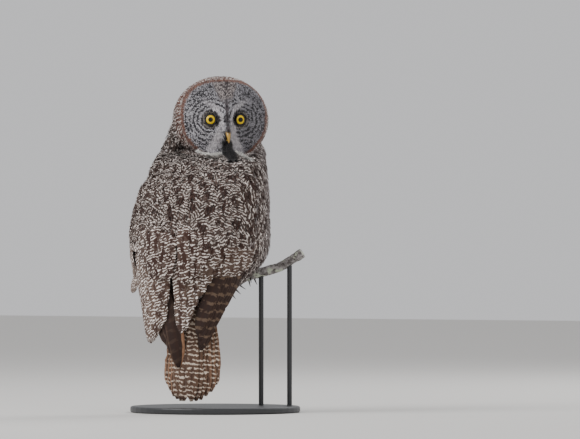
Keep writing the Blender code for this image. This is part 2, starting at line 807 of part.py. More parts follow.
def make_stand(perch):
    """Flat round base and two rods up to the underside of the branch."""
    metal = material("stand_paint", "2f3032", 0.5)
    rods = []
    for number, place in enumerate(ROD_ALONG, start=1):
        top = perch_point(place)
        foot = Vector((top.x, top.y, BASE_THICKNESS + GAP))
        mesh = bpy.data.meshes.new("rod")
        shape = bmesh.new()
        height = top.z - foot.z
        round_rod = {"radius1": ROD_RADIUS, "radius2": ROD_RADIUS, "segments": 16, "cap_ends": True}
        bmesh.ops.create_cone(shape, depth=height, **round_rod)
        bmesh.ops.translate(shape, verts=shape.verts, vec=foot + Vector((0, 0, height / 2)))
        shape.to_mesh(mesh)
        shape.free()
        rod = add_object(f"stand_rod_{number}", mesh, metal)
        cut_clear(rod, perch)
        smooth(rod)
        rods.append(rod)
    turned = [(BASE_RADIUS - 0.002, 0.0), (BASE_RADIUS, 0.002), (BASE_RADIUS, BASE_THICKNESS - 0.003)]
    turned += [(BASE_RADIUS - 0.001, BASE_THICKNESS - 0.001), (BASE_RADIUS - 0.003, BASE_THICKNESS)]
    rings = [circle(radius, z, 48) for radius, z in turned]
    base = add_object("stand_base", loft("stand_base", rings), metal)
    smooth(base)
    return base, rods


def circle(radius, z, sides):
    """Points round the origin's axis at a height."""
    turns = [math.tau * i / sides for i in range(sides)]
    return [Vector((radius * math.cos(turn), radius * math.sin(turn), z)) for turn in turns]


def foot_frame(place):
    """Where a foot grips: point on the axis, direction along the branch, forward and up."""
    point = perch_point(place)
    along = (perch_point(place + 0.1) - perch_point(place - 0.1)).normalized()
    upward = (Vector((0, 0, 1)) - along * along.z).normalized()
    forward = upward.cross(along)
    return point, along, forward, upward


def toe_points(frame, shift, front, splay):
    """A toe wraps round the branch from its top."""
    point, along, forward, upward = frame
    turn = 1 if front else -1
    reach = PERCH_RADIUS * 1.09 + TOE_RADIUS * 0.82
    points = []
    for k in range(6):
        angle = math.radians(mix(4, 100 if front else 92, k / 5))
        out = upward * math.cos(angle) + forward * (turn * math.sin(angle))
        points.append(point + along * (shift + splay * k / 5) + out * reach)
    return points


def make_leg(name, place, torso, perch):
    """Feathered leg, foot with four toes, and its claws."""
    down = material("leg_feathers", "a79f9b", 0.95)
    frame = foot_frame(place)
    point, along, forward, upward = frame
    ankle = point + upward * (PERCH_RADIUS + TOE_RADIUS * 2.1)
    hip = Vector((ankle.x * 0.9 + 0.002, ankle.y - 0.032, ankle.z + 0.052))
    leg_points = [mix(ankle, hip, t) for t in (0.0, 0.25, 0.5, 0.75, 1.0)]
    leg = add_object("leg_" + name, tube("leg", leg_points, [0.0125, 0.0145, 0.019, 0.023, 0.025], 12), down)
    pad = ball("pad", point + upward * (PERCH_RADIUS + TOE_RADIUS), 0.0115, 12, 8)
    toes = []
    claws = []
    for number, (shift, front, splay) in enumerate(TOES, start=1):
        path = toe_points(frame, shift, front, splay)
        radii = [TOE_RADIUS * share for share in (1.0, 1.0, 0.95, 0.90, 0.82, 0.66)]
        toes.append(add_object("toe", tube("toe", path, radii, 7), home="cutters"))
        claws.append(make_claw(f"claw_{name}_{number}", path))
    foot = pad
    foot.name = "foot_" + name
    collection("cutters").objects.unlink(foot)
    collection("great_grey_owl").objects.link(foot)
    foot.data.materials.append(down)
    boolean(foot, "UNION", toes)
    cut_clear(foot, perch)
    for claw in claws:
        cut_clear(claw, foot, perch)
    cut_clear(torso, foot, *claws)
    cut_clear(leg, foot, perch, torso)
    smooth(leg)
    smooth(foot)


def make_claw(name, path):
    """A curved claw that goes on from the toe's tip."""
    start = path[-1]
    ahead = (path[-1] - path[-2]).normalized()
    inward = (path[-2] - path[0]).normalized()
    normal = ahead.cross(inward).normalized()
    points = []
    radii = []
    here = start - ahead * 0.003
    direction = ahead
    for k in range(6):
        points.append(here.copy())
        radii.append(mix(0.0030, 0.0006, k / 5))
        here = here + direction * (CLAW_LENGTH / 5)
        direction = Matrix.Rotation(math.radians(9), 3, normal) @ direction
    return add_object(name, tube(name, points, radii, 6), material("claw", "26211f", 0.3))


def main():
    """The owl, its branch and its stand."""
    for old in list(bpy.data.objects):
        bpy.data.objects.remove(old)
    torso, neck = make_body()
    head = make_head()
    make_eyes(head)
    make_bill(head)
    cut_clear(neck, head)
    smooth(head)
    smooth(neck)
    perch = make_perch()
    cut_clear(torso, perch)
    for name, place in zip(("left", "right"), FOOT_ALONG):
        make_leg(name, place, torso, perch)
    for name, side in (("wing_right", 1), ("wing_left", -1)):
        make_wing(name, side, torso, neck)
    make_tail(torso)
    smooth(torso)
    make_stand(perch)


main()
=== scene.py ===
"""Great grey owl on a cut branch: skin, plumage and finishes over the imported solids. Metres, +Z up."""
import math

import bmesh
import bpy
import numpy as np
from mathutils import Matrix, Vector
from mathutils.bvhtree import BVHTree
from mathutils.kdtree import KDTree
from mathutils.noise import noise_vector, seed_set


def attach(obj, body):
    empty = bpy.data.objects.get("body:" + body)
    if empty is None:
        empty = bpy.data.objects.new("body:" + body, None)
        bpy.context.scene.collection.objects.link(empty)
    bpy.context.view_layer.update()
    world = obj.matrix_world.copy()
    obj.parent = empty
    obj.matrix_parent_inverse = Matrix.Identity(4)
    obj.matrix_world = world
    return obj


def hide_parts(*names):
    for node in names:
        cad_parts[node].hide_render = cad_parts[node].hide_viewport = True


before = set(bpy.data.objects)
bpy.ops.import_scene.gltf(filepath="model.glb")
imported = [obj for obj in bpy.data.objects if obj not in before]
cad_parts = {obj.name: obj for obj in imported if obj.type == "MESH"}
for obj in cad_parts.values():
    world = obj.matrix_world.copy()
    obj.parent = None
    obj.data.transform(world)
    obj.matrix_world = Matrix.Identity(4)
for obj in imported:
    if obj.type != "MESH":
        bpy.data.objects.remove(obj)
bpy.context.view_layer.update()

SEED = 23

# Sizes of the head, as in the solids
HEAD_CENTRE = np.array((0.0035, 0.015, 0.585))
HEAD_YAW = 137.5
HEAD_RADIUS = 0.0962
HEAD_DEPTH = 0.092
HEAD_SQUASH = 0.905
DISC_RADIUS = 0.0865
EYE_SIDE = 0.0300
EYE_UP = -0.001
EYE_RADIUS = 0.0135
EYE_FORWARD = 0.0435
IRIS_RADIUS = 0.0087
PUPIL_RADIUS = 0.0046

# Power of the disc's upper outline, where 2 is round
DISC_POWER = 2.5
# How far each eye looks aside and how wide its lids are open; -1 is the owl's right eye
EYE_TURNS = {-1: -0.16, 1: -0.08}
LID_NARROWING = {-1: 1.0, 1: 0.78}
# Lids: radius of the ring, half its thickness, where it sits on the ball, how far its corners stand out
LID_RADIUS = 0.0111
LID_HALF = 0.0019
LID_SEAT = 0.0108
LID_CORNER_OUT = 0.011
# Cornea: how far it bulges, and how wide the bulge is
CORNEA_OUT = 0.0009
CORNEA_WIDTH = 0.0075

# Sizes of the folded wings, as in the solids: height, half width, depth, middle
WING_SECTIONS = np.array((
    (0.495, 0.104, 0.102, -0.004),
    (0.450, 0.128, 0.124, -0.018),
    (0.400, 0.133, 0.127, -0.028),
    (0.350, 0.132, 0.122, -0.036),
    (0.300, 0.122, 0.104, -0.046),
    (0.250, 0.104, 0.080, -0.058),
    (0.200, 0.082, 0.058, -0.074),
    (0.150, 0.064, 0.042, -0.086),
    (0.100, 0.050, 0.032, -0.092),
))
WING_LEAD_ANGLE = -6.0
WING_TRAIL_ANGLE = -84.0
WING_SINK = 0.026
WING_TOP = 0.490
WING_LOW = 0.312
ARM_OUT = 0.0045
SHELL_THICKNESS = 0.010
MANTLE_LOW = 0.322
MANTLE_ANGLE = -76.0
LEFT_WING_SWING = 7.0
LEFT_WING_TURN = 0.5
LEFT_WING_OUT = 0.010
LEFT_WING_LENGTH = 0.94
SHOULDER = np.array((0.090, -0.020, 0.470))
PRIMARY_ARCH = 0.046
SHINGLE_TILT = 0.085
# Rows and columns of the shells of a wing's arm and of the mantle
ARM_GRID = (14, 12)
MANTLE_GRID = (12, 9)

# Tiers of a wing: count, heights of roots and tips, angles of roots and tips, half width, lift at both
TIERS = {
    "primaries": (9, (0.330, 0.322), (0.186, 0.156), (-15, -38), (-34, -64), 0.014, (-0.010, -0.0066)),
    "secondaries": (12, (0.352, 0.340), (0.272, 0.158), (-22, -80), (-26, -84), 0.0175, (-0.0085, -0.0006)),
    "primary_coverts": (6, (0.362, 0.356), (0.284, 0.276), (-14, -34), (-17, -38), 0.012, (-0.007, 0.0034)),
    "great_coverts": (11, (0.402, 0.396), (0.312, 0.256), (-32, -80), (-34, -82), 0.015, (-0.007, 0.0048)),
    "crossed": (3, (0.312, 0.308), (0.124, 0.081), (-44, -56), (-101, -141), 0.0185, (-0.013, -0.006)),
    "inner_coverts": (4, (0.380, 0.374), (0.272, 0.262), (-76, -99), (-78, -95), 0.014, (-0.003, 0.008)),
    # The inner feathers lie deep in the gap between the left wing and the body; their near-black brown is
    # painted shade
    "shaded_inner_feathers": (5, (0.335, 0.330), (0.205, 0.165), (-74, -94), (-84, -106), 0.015, (-0.020, -0.015)),
}
LEFT_TIERS = ("crossed", "inner_coverts", "shaded_inner_feathers")
SECONDARY_ROOTS = (-22, -90)
SECONDARY_TIPS = (-26, -92)
# The right wing's bars slope the other way, and its edges are hardly worn
RIGHT_SLOPE = -0.5
RIGHT_EDGE = 0.05
# Loose feathers at the bend of the left wing: place right and up of the root, and of the tip
BEND_TUFT = (
    ((-0.154, 0.292), (-0.166, 0.238)),
    ((-0.152, 0.296), (-0.161, 0.246)),
    ((-0.150, 0.298), (-0.157, 0.254)),
    ((-0.158, 0.322), (-0.160, 0.270)),
    ((-0.155, 0.328), (-0.155, 0.276)),
    ((-0.158, 0.346), (-0.160, 0.296)),
    ((-0.156, 0.336), (-0.157, 0.280)),
    ((-0.160, 0.332), (-0.163, 0.284)),
    ((-0.159, 0.340), (-0.159, 0.288)),
)
BEND_ANGLE = -12.0
BEND_HEIGHT = 0.300
BEND_NEAR = 0.014
BEND_STEP = 0.0022
BEND_HALVES = (0.0068, 0.0084)

# Tail, as in the solids
TAIL_ROOT = np.array((0.000, -0.100, 0.222))
TAIL_TIP_Z = 0.022
TAIL_PAIRS = 6
TAIL_HALF_WIDTH = 0.056
TAIL_FEATHER_HALF = 0.0175
TAIL_STEP = 0.0028
TAIL_OUTER_RISE = 0.034
# Side place of the middle pair at root and tip, and how far apart the roots of the pairs are
TAIL_ROOT_SIDE = 0.003
TAIL_TIP_SIDE = 0.009
TAIL_ROOT_STEP = 0.0042

# A large feather: points along and across it, thickness at root, what it loses, extra at its shaft
VANE_ROWS = 18
VANE_COLUMNS = 9
VANE_THICKNESS = 0.0011
VANE_THINNING = 0.0006
SHAFT_HALF = 0.0007
BARB_RELIEF = 0.00025
CAMBER = 0.20
# Most of the width lost along a worn edge, and the nicks on each side
EDGE_WEAR = 0.10
NICKS = 2
# Large feathers side by side on the bake map
BAKE_CELLS = 7

# How deep the coat is over the skin
BODY_COAT = 0.0075
HEAD_COAT = 0.0050
FACE_COAT = 0.0032
FOOT_COAT = 0.0018
LEG_COAT = 0.003
LEG_TOP = 0.275
LEG_BACK = 0.02
# Voxels of the smooth skins
HULL_VOXEL = 0.0030
FOOT_VOXEL = 0.0011
BARK_VOXEL = 0.0012
HORN_VOXEL = 0.0005
# Size of a tuft on the bake map, and how far the marks of one tuft slip on its neighbours
PATCH = 0.003
MARK_JITTER = 0.0008
# Bristles: half width, reach and droop, what both gain above the nostrils, and how far they stray
BRISTLE_HALF = 0.0009
BRISTLE_REACH = 0.0115
BRISTLE_DROOP = 0.0085
HIGH_REACH = 0.0070
HIGH_DROOP = 0.0035
BRISTLE_STRAY = 0.0012
# Where the coat pieces meet: lowest places of mantle, breast and neck
MANTLE_FOOT = 0.36
BREAST_FOOT = 0.37
NECK_FOOT = 0.474

# Bars and spots of the coat: distance of the single feathers, of the bars, and how they bow
CELL_SPACING = 0.024
BAR_PERIOD = 0.0060
STREAK_PERIOD = 0.0088
BAR_BOW = 22.0
CELL_TILT = 17.0
RING_PERIOD = 0.0080
SPOT_LENGTH = 0.0105
SPOT_WIDTH = 0.0072
# Wave numbers that shift the rings of the disc from feather to feather
SPECKLE = np.array((9103.0, 8207.0, 7411.0))

# Loose feathers that fill hollows at nape and shoulder: middle (right, away, up), slope and half sizes
FILLS = (
    ((-0.0745, 0.014, 0.5580), 21.5, (0.021, 0.026, 0.042)),
    ((-0.1149, 0.008, 0.4814), 24.3, (0.017, 0.040, 0.032)),
)
# What they add to the depth of the coat, and how far from their middles
FILL_COAT = 0.009
FILL_REACH = (0.050, 0.020)

# The camera: photo frame in pixels, metres a pixel at the owl, and where it looks
PHOTO_WIDTH = 580
METRES_PER_PIXEL = 0.002
CAMERA_AZIMUTH = 30.0
CAMERA_DISTANCE = 12.0
CAMERA_TARGET = Vector((0.1295, 0.0748, 0.385))
SENSOR = 36.0

# Pale lines and moustaches of the face: the places aside and up that they run through, and their half width
LORE_OUTER = (((0.040, 0.036), (0.030, 0.031), (0.0185, 0.018), (0.0135, 0.004)), 0.0052)
LORE_INNER = (((0.0135, 0.004), (0.0125, -0.014), (0.0165, -0.030)), 0.0052)
LORE_LOBE = (((0.0150, -0.034), (0.0210, -0.048), (0.0290, -0.061)), 0.0080)
MOUSTACHE_LEFT = (((-0.054, -0.062), (-0.044, -0.068), (-0.033, -0.072), (-0.014, -0.070)), 0.0020)
MOUSTACHE_RIGHT = (((0.022, -0.066), (0.030, -0.072), (0.039, -0.077), (0.046, -0.080)), 0.0022)
# Dark arc round an eye: bearings in degrees, how far from the eye's middle it runs there, its half width
ARC_BEARINGS = (-60, -20, 30, 90, 130)
ARC_WAYS = (0.0155, 0.0140, 0.0145, 0.0178, 0.0185)
ARC_HALF = 0.0026
# Black bib under the bill: its middle aside, heights and its half widths there
BIB_SIDE = 0.0045
BIB_HEIGHTS = (-0.088, -0.072, -0.045)
BIB_HALVES = (0.0095, 0.0135, 0.0085)

# Layout of the skin's bake map: size of the body's strip, middles of the head and the face, their radius
BODY_CHART = (0.62, 0.98)
BODY_LOW = 0.02
BODY_TALL = 0.66
HEAD_CHART = np.array((0.82, 0.80))
FACE_CHART = np.array((0.82, 0.40))
CHART_RADIUS = 0.17

# Shares of a tuft's length where its rows lie, and of its half width there
TUFT_SHARES = (0.0, 0.30, 0.60, 0.84, 1.0)
TUFT_WIDTHS = (0.40, 0.86, 1.0, 0.66)


def linear(colour):
    """Linear RGB of an sRGB hex colour."""
    channels = np.array([int(colour[i:i + 2], 16) / 255 for i in (0, 2, 4)])
    return np.where(channels <= 0.04045, channels / 12.92, ((channels + 0.055) / 1.055) ** 2.4)


# Colours of the plumage
MANTLE_BROWN = linear("513f37")
MANTLE_LINE = linear("f6ebe3")
BLOTCH_BROWN = linear("3b251d")
BREAST_GREY = linear("8d8381")
BREAST_LINE = linear("c9c0bf")
NECK_GREY = linear("544741")
NECK_LINE = linear("ece2dc")
DISC_GREY = linear("bebbc0")
DISC_RING = linear("252227")
LORE_PALE = linear("dad5d8")
BROW_DARK = linear("1d1a1d")
BIB_BLACK = linear("151214")
BIB_FLECK = linear("4a4648")
MOUSTACHE_WHITE = linear("fffdf8")
RIM_BROWN = linear("5c3323")
RIM_LINE = linear("8c5d48")
WEDGE = linear("3f3436")
WEDGE_LINE = linear("b0a6a3")
# Grey of the painted shade on the disc's half turned from the key light, also used to darken the disc above
# the eyes
DISC_SHADE = linear("7d7a80")
LORE_LINE = linear("b9b3b8")
EYE_RING = linear("8d867f")
EYE_RING_LINE = linear("3a3634")
STRIPE = linear("2f292c")
STRIPE_LINE = linear("6d6468")
RIM_DOT = linear("d9cdc6")
CROWN_BROWN = linear("47372f")
CROWN_DOT = linear("bdb2af")
RUFOUS = linear("84593f")
RUFOUS_PALE = linear("ab8568")
PRIMARY_BROWN = linear("33241f")
LOOSE_GREY = linear("8b7c73")
PRIMARY_BAR = linear("75604f")
# Near-black brown of the inner feathers: painted shade in the gap beside the left wing
INNER_SHADE_BROWN = linear("2b201c")
SECONDARY_BROWN = linear("5a483e")
SECONDARY_LINE = linear("f8eee7")
TAIL_BROWN = linear("5a4335")
TAIL_LINE = linear("dccbb9")
DOWN_PALE = linear("b5adaa")
DOWN_LINE = linear("6f6462")


def step(low, high, value):
    """A soft ramp from 0 at low to 1 at high."""
    t = np.clip((value - low) / (high - low), 0.0, 1.0)
    return t * t * (3 - 2 * t)


def blend(a, b, t):
    """Straight blend; one share for each row blends whole rows."""
    t = np.asarray(t)
    if t.ndim and max(np.ndim(a), np.ndim(b)) == t.ndim + 1:
        t = t[..., None]
    return a + (b - a) * t


def unit(vectors):
    """Vectors of length one."""
    return vectors / np.maximum(np.linalg.norm(vectors, axis=-1, keepdims=True), 1e-9)


def together(*coordinates):
    """Coordinates side by side, as places."""
    return np.stack(coordinates, axis=-1)


def rows_of(value, count):
    """The same row for every point."""
    return np.tile(value, (count, 1))


def turned(a, b, angle):
    """Two coordinates turned by an angle, the second one towards the first."""
    return a * np.cos(angle) + b * np.sin(angle), b * np.cos(angle) - a * np.sin(angle)


YAW = math.radians(HEAD_YAW)
FORWARD = np.array((math.sin(YAW), math.cos(YAW), 0.0))
UP = np.array((0.0, 0.0, 1.0))
SIDE = np.cross(-FORWARD, UP)
AZIMUTH = math.radians(CAMERA_AZIMUTH)
RIGHT = np.array((math.cos(AZIMUTH), math.sin(AZIMUTH), 0.0))
AWAY = np.array((-RIGHT[1], RIGHT[0], 0.0))


def seen_place(right, away, up):
    """Places given as the camera sees them: how far right, away and up."""
    return np.multiply.outer(right, RIGHT) + np.multiply.outer(away, AWAY) + np.multiply.outer(up, UP)


def face_axes_of(points):
    """Side, up and forward of places, measured from the head's centre."""
    away = points - HEAD_CENTRE
    return away @ SIDE, away @ UP, away @ FORWARD


def head_share(points):
    """How far places lie on the head: 1 on it, 0 on the neck and body."""
    side, up, forward = face_axes_of(points)
    high = up / (HEAD_RADIUS * HEAD_SQUASH)
    reach = np.sqrt((side / HEAD_RADIUS) ** 2 + high ** 2 + (forward / HEAD_DEPTH) ** 2)
    return step(1.13, 1.06, reach)


def disc_reach(side, up):
    """Reach from the middle of the facial disc, 1 at its rim; the upper corners are fuller than round."""
    power = np.where(up > 0, DISC_POWER, 2.0)
    across = np.abs(side) / DISC_RADIUS
    high = np.abs(up) / (DISC_RADIUS * HEAD_SQUASH)
    return (across ** power + high ** power) ** (1 / power)


def disc_share(points):
    """How far places lie on the facial disc."""
    side, up, forward = face_axes_of(points)
    return step(0.010, 0.016, forward) * step(1.030, 1.015, disc_reach(side, up))


def plain_select(*chosen):
    """Only the given objects are selected, the first one active."""
    bpy.ops.object.select_all(action="DESELECT")
    for piece in chosen:
        piece.select_set(True)
    bpy.context.view_layer.objects.active = chosen[0]


def new_object(name, data):
    """An object in the scene that holds the data."""
    made = bpy.data.objects.new(name, data)
    bpy.context.scene.collection.objects.link(made)
    return made


def move_points(piece, places):
    """Every point of a piece goes to its new place."""
    piece.data.vertices.foreach_set("co", places.ravel())


def joined_copy(name, nodes, extra=()):
    """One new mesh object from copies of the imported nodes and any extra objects."""
    copies = [new_object(name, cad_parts[node].data.copy()) for node in nodes]
    plain_select(*copies, *extra)
    if len(copies) + len(extra) > 1:
        bpy.ops.object.join()
    made = bpy.context.view_layer.objects.active
    made.name = name
    made.data.name = name
    made.data.materials.clear()
    return made


def remeshed(made, voxel, passes):
    """The piece as one even closed skin, its facets smoothed away."""
    remesh = made.modifiers.new("even_skin", "REMESH")
    remesh.mode = "VOXEL"
    remesh.voxel_size = voxel
    soft = made.modifiers.new("soften", "SMOOTH")
    soft.factor = 0.5
    soft.iterations = passes
    plain_select(made)
    for name in ("even_skin", "soften"):
        bpy.ops.object.modifier_apply(modifier=name)
    made.data.shade_smooth()
    return made


def arrays_of(mesh):
    """Places, normals and triangles of a mesh."""
    places = np.empty(len(mesh.vertices) * 3)
    mesh.vertices.foreach_get("co", places)
    normals = np.empty(len(mesh.vertices) * 3)
    mesh.vertex_normals.foreach_get("vector", normals)
    mesh.calc_loop_triangles()
    corners = np.empty(len(mesh.loop_triangles) * 3, dtype=np.int64)
    mesh.loop_triangles.foreach_get("vertices", corners)
    return places.reshape(-1, 3), normals.reshape(-1, 3), corners.reshape(-1, 3)


def surface_of(piece):
    """Places, normals and triangles of a piece, and a search tree of its surface."""
    places, normals, faces = arrays_of(piece.data)
    return places, normals, faces, BVHTree.FromPolygons(places.tolist(), faces.tolist())


def place_wing(points, side):
    """The right wing as it is; the left one mirrored, drooping and swung away from the body."""
    if side > 0:
        return points
    x, y, z = np.moveaxis(points - SHOULDER, -1, 0)
    z = np.where(z < 0, z * LEFT_WING_LENGTH, z)
    x, z = turned(x, z, -math.radians(LEFT_WING_SWING) * step(0.03, -0.12, z))
    x, y = turned(x, y, math.radians(LEFT_WING_TURN))
    x = x + LEFT_WING_OUT * step(0.05, -0.03, z)
    placed = together(x, y, z) + SHOULDER
    placed[..., 0] *= -1
    return placed


def wing_sheet(angle, z, out, side):
    """Places on the folded wing's outer surface: angle round the body, height, distance outwards."""
    heights = WING_SECTIONS[::-1, 0]
    half, deep, middle = (np.interp(z, heights, WING_SECTIONS[::-1, k]) for k in (1, 2, 3))
    turn = np.radians(angle)
    normal = unit(together(np.cos(turn) / half, np.sin(turn) / deep, 0 * turn))
    place = together(half * np.cos(turn), middle + deep * np.sin(turn), z + 0 * turn)
    return place_wing(place + normal * np.asarray(out)[..., None], side)


def sunk_grid(rows, columns, low):
    """Heights of a grid from the wing's top down, and how far out its sunk-edged and inner layers lie."""
    height = np.tile(np.linspace(WING_TOP, low, rows)[:, None], (1, columns))
    outer = np.full(height.shape, -WING_SINK)
    outer[1:-1, 1:-1] = ARM_OUT
    return height, (outer, np.full(height.shape, -WING_SINK - SHELL_THICKNESS))


def shell_object(name, outer, inner):
    """A closed shell between two grids of places."""
    shell = bmesh.new()
    layers = [[[shell.verts.new(p) for p in row] for row in sheet] for sheet in (outer, inner)]
    for layer in layers:
        for upper, lower in zip(layer, layer[1:]):
            for a, b, c, d in zip(upper, upper[1:], lower[1:], lower):
                shell.faces.new((a, b, c, d))
    bmesh.ops.bridge_loops(shell, edges=[e for e in shell.edges if e.is_boundary])
    bmesh.ops.recalc_face_normals(shell, faces=shell.faces)
    mesh = bpy.data.meshes.new(name)
    shell.to_mesh(mesh)
    shell.free()
    return new_object(name, mesh)


def wing_arm(side):
    """The fleshy arm of a wing, a closed shell whose edges sink into the body."""
    height, layers = sunk_grid(*ARM_GRID, WING_LOW)
    angle = rows_of(np.linspace(WING_LEAD_ANGLE, WING_TRAIL_ANGLE, ARM_GRID[1]), ARM_GRID[0])
    return shell_object("arm", *(wing_sheet(angle, height, out, side) for out in layers))


def mantle_plate():
    """The mantle that bridges the groove between the folded wings, its edges sunk in their arms."""
    height, layers = sunk_grid(*MANTLE_GRID, MANTLE_LOW)
    angle = np.full(height.shape, MANTLE_ANGLE)
    share = rows_of(np.linspace(0, 1, MANTLE_GRID[1]), MANTLE_GRID[0])[..., None]
    edges = [[wing_sheet(angle, height, out, side) for side in (-1, 1)] for out in layers]
    return shell_object("mantle", *(blend(left, right, share) for left, right in edges))


def fills():
    """Smooth lumps that round off the hollows of the coat's outer surface."""
    made = []
    for middle, slope, halves in FILLS:
        bpy.ops.object.select_all(action="DESELECT")
        bpy.ops.mesh.primitive_uv_sphere_add(segments=24, ring_count=16, radius=1.0)
        lump = bpy.context.active_object
        x, y, z = (arrays_of(lump.data)[0] * np.array(halves)).T
        aside, high = turned(x, z, math.radians(slope))
        move_points(lump, seen_place(*middle) + seen_place(aside, y, high))
        made.append(lump)
    return made


def coat_depth(points):
    """Depth of the coat over the skin; it is thin on the legs."""
    depth = blend(np.full(len(points), BODY_COAT), HEAD_COAT, head_share(points))
    for middle, _, _ in FILLS:
        near = np.linalg.norm(points - seen_place(*middle), axis=1)
        depth = depth + FILL_COAT * step(*FILL_REACH, near)
    depth = blend(depth, FACE_COAT, disc_share(points))
    on_leg = (points[:, 2] < LEG_TOP) & (points[:, 1] > LEG_BACK)
    return np.where(on_leg, LEG_COAT, depth)


# One even surface at the tips of the coat; the skin lies under it and the tufts are laid along it
FLESH = ("torso", "neck", "head", "leg_left", "leg_right")
hull = joined_copy("owl_skin", FLESH, (wing_arm(1), wing_arm(-1), mantle_plate(), *fills()))
HULL_PLACES, HULL_NORMALS, HULL_FACES, HULL_TREE = surface_of(remeshed(hull, HULL_VOXEL, 8))
foot_hull = joined_copy("foot_skin", ("foot_left", "foot_right"))
FOOT_PLACES, FOOT_NORMALS, FOOT_FACES, FOOT_TREE = surface_of(remeshed(foot_hull, FOOT_VOXEL, 4))


def lie(points, normals):
    """The lie of the coat: down the body, back over the crown, outwards from the eyes on the disc."""
    side, up, _ = face_axes_of(points)
    body = rows_of((0.0, -0.16, -1.0), len(points))
    crown = -FORWARD - UP * (0.25 + 0.9 * step(0.03, -0.05, up))[:, None]
    way = blend(body, crown, head_share(points))
    ray = unit(together(side - np.where(side > 0, EYE_SIDE, -EYE_SIDE), up - EYE_UP))
    between = together(0.25 * np.sign(side), np.where(up > -0.012, 1.0, -1.0))
    ray = unit(blend(ray, between, np.exp(-(side / 0.009) ** 2)))
    disc = SIDE * ray[:, :1] + UP * ray[:, 1:]
    way = blend(way, disc, disc_share(points))
    return unit(way - normals * np.sum(way * normals, axis=-1, keepdims=True))


def everywhere(points, normals):
    """Every place counts."""
    return np.ones(len(points))


def scattered(places, faces, inside, spacing, draw):
    """Places spread evenly over a surface, at least the spacing apart, with their normals."""
    corners = places[faces]
    normal = np.cross(corners[:, 1] - corners[:, 0], corners[:, 2] - corners[:, 0])
    area = np.linalg.norm(normal, axis=1) * 0.5
    area *= inside(corners.mean(axis=1), unit(normal))
    tries = int(area.sum() / spacing ** 2 * 3.2)
    picked = draw.choice(len(area), size=tries, p=area / area.sum())
    a, b = draw.random(tries), draw.random(tries)
    over = a + b > 1
    a[over], b[over] = 1 - a[over], 1 - b[over]
    first, second, third = np.moveaxis(corners[picked], 1, 0)
    points = first + (second - first) * a[:, None] + (third - first) * b[:, None]
    keep = thinned(points, spacing)
    return points[keep], unit(normal[picked][keep])


def thinned(points, spacing):
    """Indices of the places that stay when none may lie nearer than the spacing to an earlier one."""
    cells = {}
    kept = []
    keys = np.floor(points / spacing).astype(int).tolist()
    near = [(i, j, k) for i in (-1, 0, 1) for j in (-1, 0, 1) for k in (-1, 0, 1)]
    for number, (x, y, z) in enumerate(points.tolist()):
        cx, cy, cz = keys[number]
        crowded = any(
            (x - ox) ** 2 + (y - oy) ** 2 + (z - oz) ** 2 < spacing * spacing
            for i, j, k in near
            for ox, oy, oz in cells.get((cx + i, cy + j, cz + k), ())
        )
        if not crowded:
            cells.setdefault((cx, cy, cz), []).append((x, y, z))
            kept.append(number)
    return np.array(kept)


def followed(roots, normals, lengths, tree):
    """Rows of places along the lie, kept on the surface, with the way out at each."""
    centres = [roots]
    outs = [normals]
    place, out = roots, normals
    for before, share in zip(TUFT_SHARES, TUFT_SHARES[1:]):
        stride = lengths * (share - before)
        ahead = place + lie(place, out) * stride[:, None]
        place = ahead.copy()
        for number, point in enumerate(ahead.tolist()):
            spot, normal, _, distance = tree.find_nearest(point)
            if distance < stride[number]:
                place[number] = spot
                if normal.dot(Vector(out[number])) > 0.2:
                    out[number] = normal
        out = unit(outs[-1] * 0.35 + out)
        centres.append(place)
        outs.append(out)
    return np.stack(centres, axis=1), np.stack(outs, axis=1)


def paint(mesh, values):
    """Point values of a mesh that its finish reads."""
    for label, value in values.items():
        if value.ndim == 2:
            data = mesh.attributes.new(label, "FLOAT_COLOR", "POINT").data
            data.foreach_set("color", np.column_stack((value, np.ones(len(value)))).ravel())
        else:
            data = mesh.attributes.new(label, "FLOAT", "POINT").data
            data.foreach_set("value", value.ravel())


def coat_piece(name, points, loops, counts, finish, values, maps):
    """A coat mesh from flat arrays, with its point values and its two UV maps."""
    mesh = bpy.data.meshes.new(name)
    mesh.vertices.add(len(points))
    mesh.vertices.foreach_set("co", points.ravel())
    mesh.loops.add(len(loops))
    mesh.loops.foreach_set("vertex_index", loops.astype(np.int32))
    mesh.polygons.add(len(counts))
    starts = np.concatenate(([0], np.cumsum(counts)[:-1]))
    mesh.polygons.foreach_set("loop_start", starts.astype(np.int32))
    mesh.update(calc_edges=True)
    mesh.shade_smooth()
    paint(mesh, values)
    for label, spread in maps.items():
        mesh.uv_layers.new(name=label).data.foreach_set("uv", spread[loops].ravel())
    mesh.materials.append(finish)
    return new_object(name, mesh)


def chart(points):
    """Where places lie on the bake map: the body unrolled round its axis, the head spread from its back."""
    turn = np.arctan2(points[:, 0], -points[:, 1] - 0.02) / math.tau + 0.5
    body = together(turn * BODY_CHART[0], (points[:, 2] - BODY_LOW) / BODY_TALL * BODY_CHART[1])
    side, up, forward = face_axes_of(points)
    flat = unit(together(side, up, forward - 0.02))
    reach = np.arccos(np.clip(-flat[:, 2], -1, 1)) / math.pi
    head = HEAD_CHART + unit(together(side, up)) * (reach * CHART_RADIUS)[:, None]
    face = FACE_CHART + together(side, up) / DISC_RADIUS * CHART_RADIUS
    placed = np.where(head_share(points)[:, None] > 0.5, head, body)
    return np.where(disc_share(points)[:, None] > 0.5, face, placed)


def tuft_corners(rows):
    """Corner indices of one closed tuft: three edges from root to tip, and how many corners each face has."""
    corners = []
    sides = ((0, 1), (1, 2), (2, 0))
    for a in range(0, (rows - 1) * 3, 3):
        for i, j in sides:
            corners += [a + i, a + j, a + 3 + j, a + 3 + i]
    last = (rows - 1) * 3
    for i, j in sides:
        corners += [last + i, last + j, rows * 3]
    corners += [2, 1, 0]
    return np.array(corners), np.array([4] * (rows - 1) * 3 + [3] * 4)


